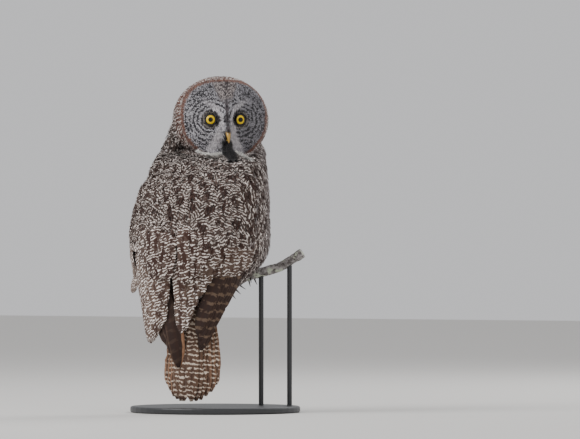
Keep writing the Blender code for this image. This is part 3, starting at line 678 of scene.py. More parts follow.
def tufts(name, roots, normals, size, depth, rise, draw, finish, tree, marks):
    """A piece of coat: closed tapered tufts, rooted under the hull, with their tips on its surface."""
    count = len(roots)
    length = size[0] * draw.uniform(0.80, 1.22, count)
    half = size[1] * 0.5 * draw.uniform(0.82, 1.18, count)
    centres, outs = followed(roots, normals, length, tree)
    across = unit(np.cross(unit(np.gradient(centres, axis=1)), outs))
    shares = np.array(TUFT_SHARES)
    lifted = rise * draw.uniform(-0.6, 1.0, count)[:, None] * shares ** 2
    depths = -depth[:, None] * (1 - shares) ** 1.3 + lifted
    spine = centres + outs * depths[..., None]
    wander = draw.normal(0.0, 0.10, count) * length
    spine += across * wander[:, None, None] * (shares ** 1.5)[None, :, None]
    widths = half[:, None] * np.array(TUFT_WIDTHS)
    return tuft_mesh(name, spine, outs, across, widths, roots, finish, marks, draw)


def tuft_mesh(name, spine, outs, across, widths, roots, finish, marks, draw):
    """A coat piece of closed three-edged tufts along their spines."""
    count, rows = widths.shape
    stride = rows * 3 + 1
    points = np.empty((count, stride, 3))
    for k in range(rows):
        half = widths[:, k, None]
        points[:, 3 * k] = spine[:, k] - across[:, k] * half
        points[:, 3 * k + 1] = spine[:, k] + outs[:, k] * half * 0.30
        points[:, 3 * k + 2] = spine[:, k] + across[:, k] * half
    points[:, -1] = spine[:, -1]
    corners, sides = tuft_corners(rows)
    loops = (corners[None, :] + stride * np.arange(count)[:, None]).ravel()
    u = np.array([0.0, 0.5, 1.0] * rows + [0.5])
    v = np.array([*np.repeat(TUFT_SHARES[:rows], 3), 1.0])
    maps = {
        "OFBake": (chart(roots)[:, None] + together(u - 0.5, v - 0.5) * PATCH).reshape(-1, 2),
        "vane": rows_of(together(u, v), count),
    }
    flat = points.reshape(-1, 3)
    shift = np.repeat(draw.normal(0.0, MARK_JITTER, (count, 3)), stride, axis=0)
    values = marks(spine[:, 3], flat + shift, np.repeat(outs[:, 0], stride, axis=0), stride)
    values["tone"] = np.repeat(draw.random(count), stride)
    return coat_piece(name, flat, loops, np.tile(sides, count), finish, values, maps)


def near_line(x, y, line, half):
    """1 within the half width of a bent line through the given places, 0 away from it."""
    best = np.full(len(x), 1.0)
    for (ax, ay), (bx, by) in zip(line, line[1:]):
        run, climb = bx - ax, by - ay
        along = np.clip(((x - ax) * run + (y - ay) * climb) / (run ** 2 + climb ** 2), 0, 1)
        best = np.minimum(best, np.hypot(x - ax - run * along, y - ay - climb * along))
    return step(half * 1.45, half * 0.60, best)


def painted(layers, share, *colours, strength=None):
    """One more mark over the ground, line and strength of the coat."""
    for layer, colour in enumerate(colours):
        layers[layer] = blend(layers[layer], rows_of(colour, len(share)), share)
    if strength is not None:
        layers[2] = blend(layers[2], np.full(len(share), strength), share)


def plain_layers(ground, line, count):
    """Ground, line and line strength of a coat of one kind."""
    return [rows_of(ground, count), rows_of(line, count), np.ones(count)]


def eye_arc(eye_way, bearing):
    """1 on the dark arc round the inner side of an eye."""
    half = ARC_HALF * step(-75, -30, bearing) * step(150, 100, bearing) + 0.00001
    off = np.abs(eye_way - np.interp(bearing, ARC_BEARINGS, ARC_WAYS))
    return step(half * 1.3, half * 0.8, off) * step(-75, -50, bearing) * step(150, 120, bearing)


def face_layers(side, up):
    """Ground, line and line strength of the facial disc."""
    aside = np.abs(side)
    face = plain_layers(DISC_GREY, DISC_RING, len(side))
    # Painted shade: the half of the disc turned from the key light is darkened; the disc is also darker above
    # the eyes
    shade = np.maximum(0.8 * step(0.000, 0.045, side), 0.45 * step(0.02, 0.06, up))
    painted(face, shade, DISC_SHADE, DISC_RING)
    wedge = step(0.004, -0.004, aside - 0.010 - 0.34 * (up - 0.030)) * step(0.030, 0.045, up)
    painted(face, wedge, WEDGE, WEDGE_LINE)
    outer = near_line(aside, up, *LORE_OUTER) * (0.30 + 0.70 * step(0.038, 0.020, up))
    inner = near_line(aside, up, *LORE_INNER)
    pale = np.maximum(np.maximum(outer, inner), near_line(aside, up, *LORE_LOBE))
    painted(face, pale, LORE_PALE, LORE_LINE, strength=0.8)
    eye_way = np.hypot(aside - EYE_SIDE, up - EYE_UP)
    bearing = np.degrees(np.arctan2(up - EYE_UP, EYE_SIDE - aside))
    painted(face, step(0.0185, 0.0165, eye_way), EYE_RING, EYE_RING_LINE, strength=0.6)
    painted(face, eye_arc(eye_way, bearing), BROW_DARK, BROW_DARK, strength=0.0)
    painted(face, step(0.0125, 0.0112, eye_way), BROW_DARK, BROW_DARK, strength=0.0)
    stripe = step(0.0050, 0.0022, aside) * step(-0.034, -0.026, up) * step(0.052, 0.030, up)
    painted(face, stripe, STRIPE, STRIPE_LINE)
    under_bill = step(0.0085, 0.0055, aside) * step(-0.022, -0.030, up)
    painted(face, under_bill, BIB_BLACK, BIB_BLACK, strength=0.0)
    return face


def head_marks(points):
    """Ground, line, blotch share and line strength of the head at places."""
    side, up, forward = face_axes_of(points)
    layers = plain_layers(CROWN_BROWN, CROWN_DOT, len(points))
    painted(layers, step(0.07, -0.05, up) * step(0.03, -0.02, forward), NECK_GREY, NECK_LINE)
    disc = disc_share(points)
    layers = [blend(under, over, disc) for under, over in zip(layers, face_layers(side, up))]
    reach = disc_reach(side, up)
    rim = step(0.955, 0.970, reach) * step(1.030, 1.016, reach) * step(0.000, 0.010, forward)
    painted(layers, rim, RIM_BROWN, RIM_LINE, strength=0.6)
    dots = step(1.016, 1.030, reach) * step(1.12, 1.07, reach) * step(-0.030, -0.010, forward)
    painted(layers, dots * step(-0.055, -0.045, up), RIM_BROWN, RIM_DOT, strength=1.0)
    chin_marks(points, layers)
    ground, line, strength = layers
    return ground, line, 0.25 * (1 - disc), strength


def moustache_share(side, up):
    """1 on the white feathers beside the bib."""
    return np.maximum(near_line(side, up, *MOUSTACHE_LEFT), near_line(side, up, *MOUSTACHE_RIGHT))


def chin_marks(points, layers):
    """The black bib under the bill and the white moustaches beside it, on the disc's foot and the neck."""
    side, up, forward = face_axes_of(points)
    ahead = step(0.0, 0.02, forward)
    white = ahead * moustache_share(side, up)
    painted(layers, white, MOUSTACHE_WHITE, MOUSTACHE_WHITE, strength=0.0)
    aside = np.abs(side - BIB_SIDE) / np.interp(up, BIB_HEIGHTS, BIB_HALVES)
    bib = step(1.15, 0.85, aside) * step(-0.040, -0.046, up) * step(-0.090, -0.082, up)
    painted(layers, ahead * bib, BIB_BLACK, BIB_FLECK, strength=0.4)


def body_marks(points, normals):
    """Ground, line, blotch share and line strength of the body at places."""
    high = points[:, 2]
    front = step(-0.25, 0.55, normals[:, 1])
    neck = step(0.470, 0.520, high)
    legs = step(0.300, 0.270, high) * step(-0.02, 0.03, points[:, 1])
    layers = plain_layers(MANTLE_BROWN, MANTLE_LINE, len(points))
    painted(layers, neck, NECK_GREY, NECK_LINE)
    painted(layers, front, BREAST_GREY, BREAST_LINE)
    painted(layers, legs, DOWN_PALE, DOWN_LINE)
    chin_marks(points, layers)
    ground, line, strength = layers
    return ground, line, (1 - 0.35 * front) * (1 - legs) * (1 - 0.4 * neck), strength


def feather_cells(draw):
    """Centres of the coat's single feathers, how their bars run and start, and a search tree."""
    points, normals = scattered(HULL_PLACES, HULL_FACES, everywhere, CELL_SPACING, draw)
    ways = lie(points, normals)
    tilt = np.radians(draw.normal(0, CELL_TILT, len(points)))[:, None]
    ways, across = turned(ways, np.cross(ways, normals), tilt)
    tree = KDTree(len(points))
    for number, point in enumerate(points.tolist()):
        tree.insert(point, number)
    tree.balance()
    rightward = normals @ RIGHT
    left_nape = (rightward < -0.6) & (points[:, 2] > 0.49)
    streaked = (rightward > 0.55) | (normals[:, 1] > 0.35) | left_nape
    return points, ways, across, draw.random(len(points)), streaked, tree


CELLS = feather_cells(np.random.default_rng(SEED + 90))
CELL_PLACES, CELL_WAYS, CELL_ACROSS, CELL_OFFSET, CELL_STREAKED, CELL_TREE = CELLS


def barring(centres, points, stride):
    """Cycles of the bars at points, and how near they lie to the dark middle of a feather."""
    nearest = np.array([CELL_TREE.find(centre)[1] for centre in centres.tolist()])
    cell = np.repeat(nearest, stride)
    away = points - CELL_PLACES[cell]
    along = np.sum(away * CELL_WAYS[cell], axis=1)
    aside = np.sum(away * CELL_ACROSS[cell], axis=1)
    bars = (along - BAR_BOW * aside ** 2) / BAR_PERIOD
    streaks = (aside + 0.15 * along) / STREAK_PERIOD
    body = np.where(CELL_STREAKED[cell], streaks, bars) + CELL_OFFSET[cell]
    side, up, _ = face_axes_of(points)
    eye_way = np.hypot(np.abs(side) - EYE_SIDE, up - EYE_UP)
    speckle = np.repeat(np.sin(centres @ SPECKLE), stride)
    rings = eye_way / RING_PERIOD + speckle * (0.04 + 0.28 * step(0.030, 0.056, eye_way))
    on_disc = np.repeat(disc_share(centres) > 0.5, stride)
    spot = np.exp(-(along / SPOT_LENGTH) ** 2 - (aside / SPOT_WIDTH) ** 2)
    return np.where(on_disc, rings, body), np.where(on_disc, 0.0, spot)


def coat_marks(centres, points, normals, stride):
    """What the finish of a coat piece reads at every point."""
    on_head = head_share(points)
    marks = zip(body_marks(points, normals), head_marks(points))
    values = dict(zip(("ground", "line", "blotch", "strength"), (blend(a, b, on_head) for a, b in marks)))
    values["phase"], values["spot"] = barring(centres, points, stride)
    values["waver"] = np.ones(len(points))
    return values


def down_marks(points, strength):
    """Pale down of the toes with faint bars."""
    values = dict(zip(("ground", "line", "strength"), plain_layers(DOWN_PALE, DOWN_LINE, len(points))))
    values["strength"] *= strength
    values["phase"] = points[:, 2] / BAR_PERIOD
    values["waver"] = np.ones(len(points))
    values["blotch"] = values["spot"] = np.zeros(len(points))
    return values


MATH = "ShaderNodeMath"
MIX = "ShaderNodeMix"
RAMP = "ShaderNodeMapRange"
NOISE = "ShaderNodeTexNoise"
VALUE = "ShaderNodeAttribute"
BUMP = "ShaderNodeBump"
COLOUR_A, COLOUR_B = 6, 7
MIXED = {"out": 2, "data_type": "RGBA"}
TIMES = {"operation": "MULTIPLY"}
TIMES_PLUS = {"operation": "MULTIPLY_ADD"}


def feed(tree, node, inputs):
    """Links or sets the sockets of a node; a plain colour gets full opacity."""
    for socket, value in inputs.items():
        if isinstance(value, bpy.types.NodeSocket):
            tree.links.new(value, node.inputs[socket])
        elif isinstance(value, np.ndarray):
            node.inputs[socket].default_value = (*value, 1.0)
        else:
            node.inputs[socket].default_value = value


def add(tree, kind, inputs=None, out=0, **settings):
    """A node with its settings and links; gives back one of its outputs."""
    made = tree.nodes.new(kind)
    for label, value in settings.items():
        setattr(made, label, value)
    feed(tree, made, inputs or {})
    return made.outputs[out]


def new_finish(name):
    """An empty finish with its shader."""
    made = bpy.data.materials.new(name)
    made.use_nodes = True
    return made, made.node_tree, made.node_tree.nodes["Principled BSDF"]


def bar_lines(tree, value, noises, amounts, share, breaks, jag):
    """Wavy bars, shaken by two noises and broken by gaps: 1 on a line, 0 between the lines."""
    warp = add(tree, MATH, {0: noises[0], 1: amounts[0]}, **TIMES)
    warp = add(tree, MATH, {0: noises[1], 1: amounts[1], 2: warp}, **TIMES_PLUS)
    warp = add(tree, MATH, {0: value["tone"], 1: jag, 2: warp}, **TIMES_PLUS)
    warp = add(tree, MATH, {0: warp, 1: value["waver"], 2: value["phase"]}, **TIMES_PLUS)
    wave = add(tree, MATH, {0: warp, 1: math.tau}, **TIMES)
    wave = add(tree, MATH, {0: wave}, operation="SINE")
    lines = add(tree, RAMP, {0: wave, 1: share - 0.24, 2: share + 0.24})
    place = add(tree, "ShaderNodeTexCoord", out="Object")
    gaps = add(tree, NOISE, {"Vector": place, "Scale": 105.0, "Detail": 1.0})
    gaps = add(tree, RAMP, {0: gaps, 1: breaks[0], 2: breaks[1]})
    lines = add(tree, MATH, {0: lines, 1: gaps}, **TIMES)
    return add(tree, MATH, {0: lines, 1: value["strength"]}, **TIMES)


def blotches(tree, value):
    """Dark patches about a centimetre long, thickest at the middle of each feather."""
    place = add(tree, "ShaderNodeTexCoord", out="Object")
    squeeze = add(tree, "ShaderNodeMapping", {"Vector": place, "Scale": (1.0, 1.0, 0.70)})
    patch = add(tree, NOISE, {"Vector": squeeze, "Scale": 75.0, "Detail": 3.0, "Roughness": 0.66})
    patch = add(tree, MATH, {0: value["spot"], 1: 0.19, 2: patch}, **TIMES_PLUS)
    patch = add(tree, RAMP, {0: patch, 1: 0.575, 2: 0.615})
    return add(tree, MATH, {0: patch, 1: value["blotch"]}, **TIMES)


def rusty_edge(tree, colour, aside, noises):
    """The colour of a large feather with the worn rusty margins of its vane."""
    worn = add(tree, VALUE, out="Fac", attribute_name="edge")
    wavy = add(tree, MATH, {0: noises[0], 1: 0.16, 2: aside}, **TIMES_PLUS)
    wavy = add(tree, MATH, {0: worn, 1: 0.06, 2: wavy}, **TIMES_PLUS)
    margin = add(tree, RAMP, {0: wavy, 1: 0.46, 2: 0.51})
    margin = add(tree, MATH, {0: margin, 1: worn}, **TIMES)
    rust = add(tree, MIX, {0: noises[1], COLOUR_A: RUFOUS, COLOUR_B: RUFOUS_PALE}, **MIXED)
    return add(tree, MIX, {0: margin, COLOUR_A: colour, COLOUR_B: rust}, **MIXED)


def feather_finish(name, scales, amounts, share, breaks, jag, shaft=0.3, edge=False, sheen=0.12):
    """Feather barbs: matte keratin with a soft sheen, wavy bars, darker blotches and a shaft streak."""
    made, tree, shader = new_finish(name)
    place = add(tree, "ShaderNodeTexCoord", out="Object")
    value = {label: add(tree, VALUE, out="Fac", attribute_name=label)
             for label in ("phase", "tone", "blotch", "strength", "waver", "spot")}
    ground, line = (add(tree, VALUE, attribute_name=label) for label in ("ground", "line"))
    noises = [add(tree, NOISE, {"Vector": place, "Scale": scale, "Detail": detail})
              for scale, detail in zip(scales, (2.0, 1.0))]
    lines = bar_lines(tree, value, noises, amounts, share, breaks, jag)
    colour = add(tree, MIX, {0: lines, COLOUR_A: ground, COLOUR_B: line}, **MIXED)
    colour = add(tree, MIX, {0: blotches(tree, value), COLOUR_A: colour, COLOUR_B: BLOTCH_BROWN}, **MIXED)
    vane = add(tree, "ShaderNodeUVMap", uv_map="vane")
    across = add(tree, "ShaderNodeSeparateXYZ", {0: vane})
    aside = add(tree, MATH, {0: across, 1: 0.5}, operation="SUBTRACT")
    aside = add(tree, MATH, {0: aside}, operation="ABSOLUTE")
    streak = add(tree, RAMP, {0: aside, 1: 0.14, 2: 0.02, 3: 0.0, 4: shaft})
    colour = add(tree, MIX, {0: streak, COLOUR_A: colour, COLOUR_B: BLOTCH_BROWN}, **MIXED)
    if edge:
        colour = rusty_edge(tree, colour, aside, noises)
    shade = add(tree, RAMP, {0: value["tone"], 3: 0.84, 4: 1.16})
    colour = add(tree, "ShaderNodeHueSaturation", {"Value": shade, "Color": colour})
    barbs = add(tree, "ShaderNodeTexWave", {"Vector": vane, "Scale": 9.0, "Distortion": 1.2}, out="Fac",
                bands_direction="DIAGONAL")
    bump = add(tree, BUMP, {"Height": barbs, "Strength": 0.35, "Distance": 0.0004})
    feed(tree, shader, {"Base Color": colour, "Normal": bump, "Roughness": 0.78, "Specular IOR Level": 0.25,
                        "Sheen Weight": sheen, "Sheen Roughness": 0.55})
    return made


def grained_finish(name, colours, grain, relief, surface):
    """A raised grain between two colours; grain is its scale and detail, relief its strength and depth."""
    made, tree, shader = new_finish(name)
    place = add(tree, "ShaderNodeTexCoord", out="Object")
    fine = add(tree, NOISE, {"Vector": place, "Scale": grain[0], "Detail": grain[1]})
    low, high = (linear(colour) for colour in colours)
    colour = add(tree, MIX, {0: fine, COLOUR_A: low, COLOUR_B: high}, **MIXED)
    bump = add(tree, BUMP, {"Height": fine, "Strength": relief[0], "Distance": relief[1]})
    feed(tree, shader, {"Base Color": colour, "Normal": bump, **surface})
    return made


def horn_finish(name, colours, roughness, coat):
    """Horn of bill and claws: smooth keratin with faint growth streaks under a polished surface."""
    surface = {"Roughness": roughness, "Coat Weight": coat, "Coat Roughness": 0.15}
    return grained_finish(name, colours, (420.0, 3.0), (0.25, 0.0003), surface)


def paint_finish():
    """Powder-coated steel of the stand: dark grey, satin, with a fine orange-peel grain."""
    colours = ("2a2b2d", "38393b")
    return grained_finish("powder_coat", colours, (700.0, 1.0), (0.15, 0.0002), {"Roughness": 0.45})


def lid_finish():
    """Bare lid: black wrinkled skin, slightly moist."""
    colours = ("0e0c0d", "241f20")
    return grained_finish("lid_skin", colours, (800.0, 2.0), (0.3, 0.0003), {"Roughness": 0.4})


def eye_finish():
    """Eye: black pupil, yellow iris with fine fibres and a dark edge, under a wet clear cornea."""
    made, tree, shader = new_finish("wet_eye")
    place = add(tree, "ShaderNodeTexCoord", out="Object")
    reach = add(tree, VALUE, out="Fac", attribute_name="reach")
    grain = add(tree, NOISE, {"Vector": place, "Scale": 900.0, "Detail": 2.0})
    fibres = add(tree, MIX, {0: grain, COLOUR_A: linear("dba400"), COLOUR_B: linear("f6dc10")}, **MIXED)
    pupil = add(tree, RAMP, {0: reach, 1: PUPIL_RADIUS - 0.0002, 2: PUPIL_RADIUS + 0.0002})
    rim = add(tree, RAMP, {0: reach, 1: IRIS_RADIUS - 0.0005, 2: IRIS_RADIUS + 0.0001, 3: 1.0, 4: 0.0})
    iris = add(tree, MATH, {0: pupil, 1: rim}, **TIMES)
    colour = add(tree, MIX, {0: iris, COLOUR_A: linear("050505"), COLOUR_B: fibres}, **MIXED)
    feed(tree, shader, {"Base Color": colour, "Roughness": 0.35, "Specular IOR Level": 0.1,
                        "Coat Weight": 0.6, "Coat Roughness": 0.03, "Coat IOR": 1.376})
    return made


def bark_finish():
    """Weathered spruce bark: grey, fissured and matte, with pale green crusts of lichen."""
    made, tree, shader = new_finish("weathered_bark")
    place = add(tree, "ShaderNodeTexCoord", out="Object")
    plates = add(tree, NOISE, {"Vector": place, "Scale": 120.0, "Detail": 5.0, "Roughness": 0.65})
    crust = add(tree, NOISE, {"Vector": place, "Scale": 48.0, "Detail": 4.0, "Roughness": 0.6})
    plates = add(tree, RAMP, {0: plates, 1: 0.34, 2: 0.60})
    colour = add(tree, MIX, {0: plates, COLOUR_A: linear("3c332f"), COLOUR_B: linear("a8a3a1")}, **MIXED)
    lichen = add(tree, RAMP, {0: crust, 1: 0.54, 2: 0.58})
    colour = add(tree, MIX, {0: lichen, COLOUR_A: colour, COLOUR_B: linear("c2c8b4")}, **MIXED)
    bump = add(tree, BUMP, {"Height": plates, "Strength": 0.8, "Distance": 0.0012})
    feed(tree, shader, {"Base Color": colour, "Normal": bump, "Roughness": 0.92})
    return made


# Scales and amounts of the two noises that shake the bars, share and breaks of the lines, and their jag
SOFT_COAT = feather_finish("contour_feathers", (48.0, 140.0), (1.5, 1.0), 0.40, (0.36, 0.46), 0.20)
DISC_COAT = feather_finish("disc_feathers", (46.0, 230.0), (0.9, 0.9), -0.06, (0.30, 0.42), 0.22, 0.0,
                           sheen=0.25)
CROWN_COAT = feather_finish("crown_feathers", (60.0, 210.0), (1.8, 1.2), 0.20, (0.36, 0.50), 0.30, 0.2)
FLIGHT_COAT = feather_finish("flight_feathers", (46.0, 150.0), (2.0, 1.3), 0.46, (0.40, 0.50), 0.60, 0.4,
                             True, 0.08)


def owner(points, normals):
    """Which coat piece a place belongs to."""
    z = points[:, 2]
    back = np.where(z > MANTLE_FOOT, "mantle", "rump")
    front = np.where(z > BREAST_FOOT, "breast", "belly")
    label = np.where(normals[:, 1] < 0.15, back, front)
    label = np.where(z > NECK_FOOT, "neck", label)
    label = np.where(head_share(points) > 0.5, "crown", label)
    return np.where(disc_share(points) > 0.5, "disc", label)


def eye_free(points):
    """Leaves out the eyes and the bill."""
    side, up, _ = face_axes_of(points)
    eye_way = np.hypot(np.abs(side) - EYE_SIDE * 1.06, up - EYE_UP)
    bill = (np.abs(side) < 0.0034) & (up < -0.026) & (up > -0.050)
    return ~(disc_share(points) > 0.5) | ((eye_way > 0.0118) & ~bill)


# Pieces of the coat: spacing, length and width of the tufts, how far their tips rise, and their finish
COATS = {
    "disc": (0.0016, (0.0085, 0.0024), 0.0012, DISC_COAT),
    "crown": (0.0025, (0.0140, 0.0050), 0.0014, CROWN_COAT),
    "neck": (0.0034, (0.0235, 0.0078), 0.0024, SOFT_COAT),
    "mantle": (0.0034, (0.0240, 0.0082), 0.0020, SOFT_COAT),
    "rump": (0.0034, (0.0260, 0.0082), 0.0022, SOFT_COAT),
    "breast": (0.0036, (0.0270, 0.0084), 0.0026, SOFT_COAT),
    "belly": (0.0036, (0.0270, 0.0080), 0.0034, SOFT_COAT),
}


def body_coat():
    """Every soft coat piece over the hull."""
    for number, (label, (spacing, size, rise, finish)) in enumerate(COATS.items()):
        draw = np.random.default_rng(SEED + number)
        points, normals = scattered(HULL_PLACES, HULL_FACES, lambda p, n: owner(p, n) == label, spacing, draw)
        keep = eye_free(points)
        points, normals = points[keep], normals[keep]
        depth = coat_depth(points) - 0.0006
        piece = tufts(f"{label}_feathers", points, normals, size, depth, rise, draw, finish, HULL_TREE,
                      coat_marks)
        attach(piece, "root")


def beside_bill(points, normals):
    """The lores next to the bill, leaving out the bill itself."""
    side, up, forward = face_axes_of(points)
    aside = np.abs(side)
    beside = (aside < 0.011) & (aside > 0.0042 * (up < -0.016))
    return (forward > 0.03) & beside & (up < -0.006) & (up > -0.036)


def bristles():
    """Hair-like feathers of the lores that stand forward round the base of the bill."""
    draw = np.random.default_rng(SEED + 30)
    points, normals = scattered(HULL_PLACES, HULL_FACES, beside_bill, 0.0011, draw)
    count = len(points)
    side, up, _ = face_axes_of(points)
    shares = np.array(TUFT_SHARES)[None, :, None]
    above = step(-0.020, -0.014, up)[:, None, None]
    reach = (BRISTLE_REACH + HIGH_REACH * above) * draw.uniform(0.85, 1.10, (count, 1, 1))
    stray = draw.normal(0, BRISTLE_STRAY, (count, 1, 3)) * shares
    aside = SIDE * (side * -0.55)[:, None, None] * shares
    spine = points[:, None] - normals[:, None] * 0.002 + FORWARD * reach * shares ** 0.75 + aside + stray
    spine = spine - UP * (0.0030 * shares + (BRISTLE_DROOP + HIGH_DROOP * above) * shares ** 2)
    outs = np.repeat(normals[:, None], len(TUFT_SHARES), axis=1)
    across = unit(np.cross(unit(spine[:, -1:] - spine[:, :1]), outs))
    widths = rows_of(np.array(TUFT_WIDTHS) * BRISTLE_HALF, count)
    piece = tuft_mesh("bill_bristles", spine, outs, across, widths, points, DISC_COAT, coat_marks, draw)
    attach(piece, "root")


def on_moustache(points, normals):
    """The white lines on the side of the face."""
    side, up, forward = face_axes_of(points)
    return (forward > 0.02) & (moustache_share(side, up - 0.002) > 0.5)


def white_marks(centres, points, normals, stride):
    """Plain creamy white."""
    values = coat_marks(centres, points, normals, stride)
    values["ground"] = rows_of(MOUSTACHE_WHITE, len(points))
    values["strength"] = values["blotch"] = np.zeros(len(points))
    return values


def moustaches():
    """The white feathers beside the bib, standing proud of the coat round them."""
    draw = np.random.default_rng(SEED + 31)
    points, normals = scattered(HULL_PLACES, HULL_FACES, on_moustache, 0.0012, draw)
    depth = coat_depth(points) * 0.5
    normals = unit(normals + FORWARD * 0.6)
    piece = tufts("moustache_feathers", points, normals, (0.0070, 0.0024), depth, 0.0045, draw, DISC_COAT,
                  HULL_TREE, white_marks)
    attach(piece, "root")


def skin():
    """One skin under the coat, with the coat's own markings."""
    move_points(hull, HULL_PLACES - HULL_NORMALS * coat_depth(HULL_PLACES)[:, None])
    move_points(foot_hull, FOOT_PLACES - FOOT_NORMALS * FOOT_COAT * 0.6)
    body = coat_marks(HULL_PLACES, HULL_PLACES, HULL_NORMALS, 1)
    for piece, values in ((hull, body), (foot_hull, down_marks(FOOT_PLACES, 0.4))):
        values["tone"] = np.full(len(values["line"]), 0.3)
        paint(piece.data, values)
    plain_select(hull, foot_hull)
    bpy.ops.object.join()
    hull.data.materials.append(SOFT_COAT)
    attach(hull, "root")
    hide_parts("torso", "neck", "head", "leg_left", "leg_right", "foot_left", "foot_right")


def foot_coat():
    """Short pale down on the toes."""
    draw = np.random.default_rng(SEED + 40)
    points, normals = scattered(FOOT_PLACES, FOOT_FACES, everywhere, 0.0020, draw)
    depth = np.full(len(points), FOOT_COAT)
    piece = tufts("foot_down", points, normals, (0.0065, 0.0022), depth, 0.0006, draw, SOFT_COAT, FOOT_TREE,
                  lambda centres, flat, outs, stride: down_marks(flat, 0.5))
    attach(piece, "root")


def vane_corners(rows, columns):
    """Corner indices of one closed vane between two grids, four to a face."""
    faces = []
    size = rows * columns
    for row in range(rows - 1):
        for a in range(row * columns, (row + 1) * columns - 1):
            faces.append((a, a + 1, a + columns + 1, a + columns))
            faces.append((size + a, size + a + columns, size + a + columns + 1, size + a + 1))
    rim = list(range(columns))
    rim += [row * columns + columns - 1 for row in range(1, rows)]
    rim += [(rows - 1) * columns + column for column in range(columns - 2, -1, -1)]
    rim += [row * columns for row in range(rows - 2, 0, -1)]
    for a, b in zip(rim, rim[1:] + rim[:1]):
        faces.append((b, a, size + a, size + b))
    return np.array(faces)


VANE_U = np.linspace(-1, 1, VANE_COLUMNS)
VANE_T = np.linspace(0, 1, VANE_ROWS)
GRID_U = np.tile(np.tile(VANE_U * 0.5 + 0.5, VANE_ROWS), 2)
GRID_T = np.tile(np.repeat(VANE_T, VANE_COLUMNS), 2)


def feather_width(t):
    """Share of a flight feather's full width along its length, round at the tip."""
    rounding = np.clip((t - 0.66) / 0.345, 0, None) ** 2.2
    return blend(0.50, 1.0, step(0.0, 0.35, t)) * np.sqrt(np.clip(1 - rounding, 0.02, None))


def worn_sides(draw):
    """Shares of a vane's width left on its two sides, with a few nicks in each."""
    left = 1 - EDGE_WEAR * draw.random((VANE_ROWS, 2)) * step(0.15, 0.5, VANE_T)[:, None]
    for hand in range(2):
        for _ in range(NICKS):
            nick = draw.integers(6, VANE_ROWS - 1)
            left[nick, hand] *= draw.uniform(0.72, 0.9)
    return left


def vane_layers(centres, outs, across, half, tilt, draw):
    """Upper and lower points of one vane: cambered, thickest at its shaft, with faint ridges of barbs."""
    u, t = VANE_U, VANE_T[:, None]
    worn = worn_sides(draw)
    reach = np.where(u < 0, worn[:, :1], worn[:, 1:]) * half[:, None] * u
    camber = -(reach ** 2) / CAMBER - tilt[:, None] * reach
    shaft = SHAFT_HALF * np.exp(-(u / 0.10) ** 2) * (1 - t)
    thick = (VANE_THICKNESS - VANE_THINNING * t) * (1 - 0.65 * u ** 2)
    barb = BARB_RELIEF * np.sin(u * 9 + t * 46 + draw.uniform(0, 6))
    spine = centres[:, None] + across[:, None] * reach[..., None]
    rises = [camber + sign * (thick * 0.5 + shaft) + barb for sign in (1, -1)]
    return [(spine + outs[:, None] * rise[..., None]).reshape(-1, 3) for rise in rises]


def vane_values(centres, half, look, draw):
    """What the finish reads at the points of one vane."""
    size = len(GRID_U)
    lateral = (GRID_U - 0.5) * half.max() * 2
    height = np.tile(np.repeat(centres[:, 2], VANE_COLUMNS), 2)
    values = {label: rows_of(look[label], size) for label in ("ground", "line")}
    values.update({label: np.full(size, look[label]) for label in ("blotch", "strength", "waver")})
    values["phase"] = draw.uniform(-0.16, 0.16) - (height + lateral * look["slope"]) / look["period"]
    values["tone"] = np.full(size, draw.uniform(0.25, 0.75))
    values["edge"] = np.where(GRID_U > 0.5, *look["edge"]) * step(-0.1, 0.1, GRID_T - look["rust"])
    values["spot"] = 0.55 * np.exp(-((GRID_U - 0.5) / 0.22) ** 2)
    return values


def vanes(name, batches, draw):
    """Large feathers as closed curved vanes; a batch has centres, outs, acrosses, half widths, tilt, look."""
    points = []
    values = []
    bake = []
    local = together(GRID_U, GRID_T)
    for number, (centres, outs, across, half, tilt, look) in enumerate(batches):
        points += vane_layers(centres, outs, across, half, tilt, draw)
        values.append(vane_values(centres, half, look, draw))
        row, column = divmod(number, BAKE_CELLS)
        bake.append((local * 0.88 + (column + 0.06, row + 0.06)) / BAKE_CELLS)
    faces = vane_corners(VANE_ROWS, VANE_COLUMNS)
    loops = (faces.ravel()[None, :] + len(GRID_U) * np.arange(len(batches))[:, None]).ravel()
    merged = {label: np.concatenate([one[label] for one in values]) for label in values[0]}
    maps = {"OFBake": np.concatenate(bake), "vane": rows_of(local, len(batches))}
    counts = np.full(len(faces) * len(batches), 4)
    return coat_piece(name, np.concatenate(points), loops, counts, FLIGHT_COAT, merged, maps)


# Looks of the large feathers; edge is the rust of the two margins, rust how far down it starts
LOOK_PARTS = ("ground", "line", "blotch", "strength", "edge", "period", "slope", "waver", "rust")
LOOK_ROWS = {
    "primaries": (PRIMARY_BROWN, PRIMARY_BAR, 0.0, 0.7, (0.9, 0.0), 0.017, 0.2, 0.2, 0.0),
    "crossed": (PRIMARY_BROWN, PRIMARY_BAR, 0.0, 0.15, (0.1, 1.0), 0.020, 0.2, 0.2, 0.58),
    "secondaries": (SECONDARY_BROWN, SECONDARY_LINE, 0.9, 1.0, (0.10, 0.0), 0.0064, 0.45, 1.0, 0.0),
    "primary_coverts": (SECONDARY_BROWN, SECONDARY_LINE, 0.6, 0.8, (0.5, 0.0), 0.0064, 0.4, 1.0, 0.0),
    "coverts": (MANTLE_BROWN, MANTLE_LINE, 1.0, 1.0, (0.0, 0.0), 0.0060, 0.4, 1.0, 0.0),
    "loose": (LOOSE_GREY, MANTLE_LINE, 0.3, 1.0, (0.0, 0.0), 0.0060, 0.8, 1.0, 0.0),
    # The inner feathers are plain and near-black, painted as the shade deep in the gap
    "shaded_inner_feathers": (INNER_SHADE_BROWN, PRIMARY_BAR, 0.0, 0.1, (0.0, 0.0), 0.010, 0.2, 1.0, 0.0),
    "tail": (TAIL_BROWN, TAIL_LINE, 0.5, 0.9, (0.25, 0.9), 0.0090, 0.1, 0.6, 0.0),
}
LOOKS = {label: dict(zip(LOOK_PARTS, row)) for label, row in LOOK_ROWS.items()}


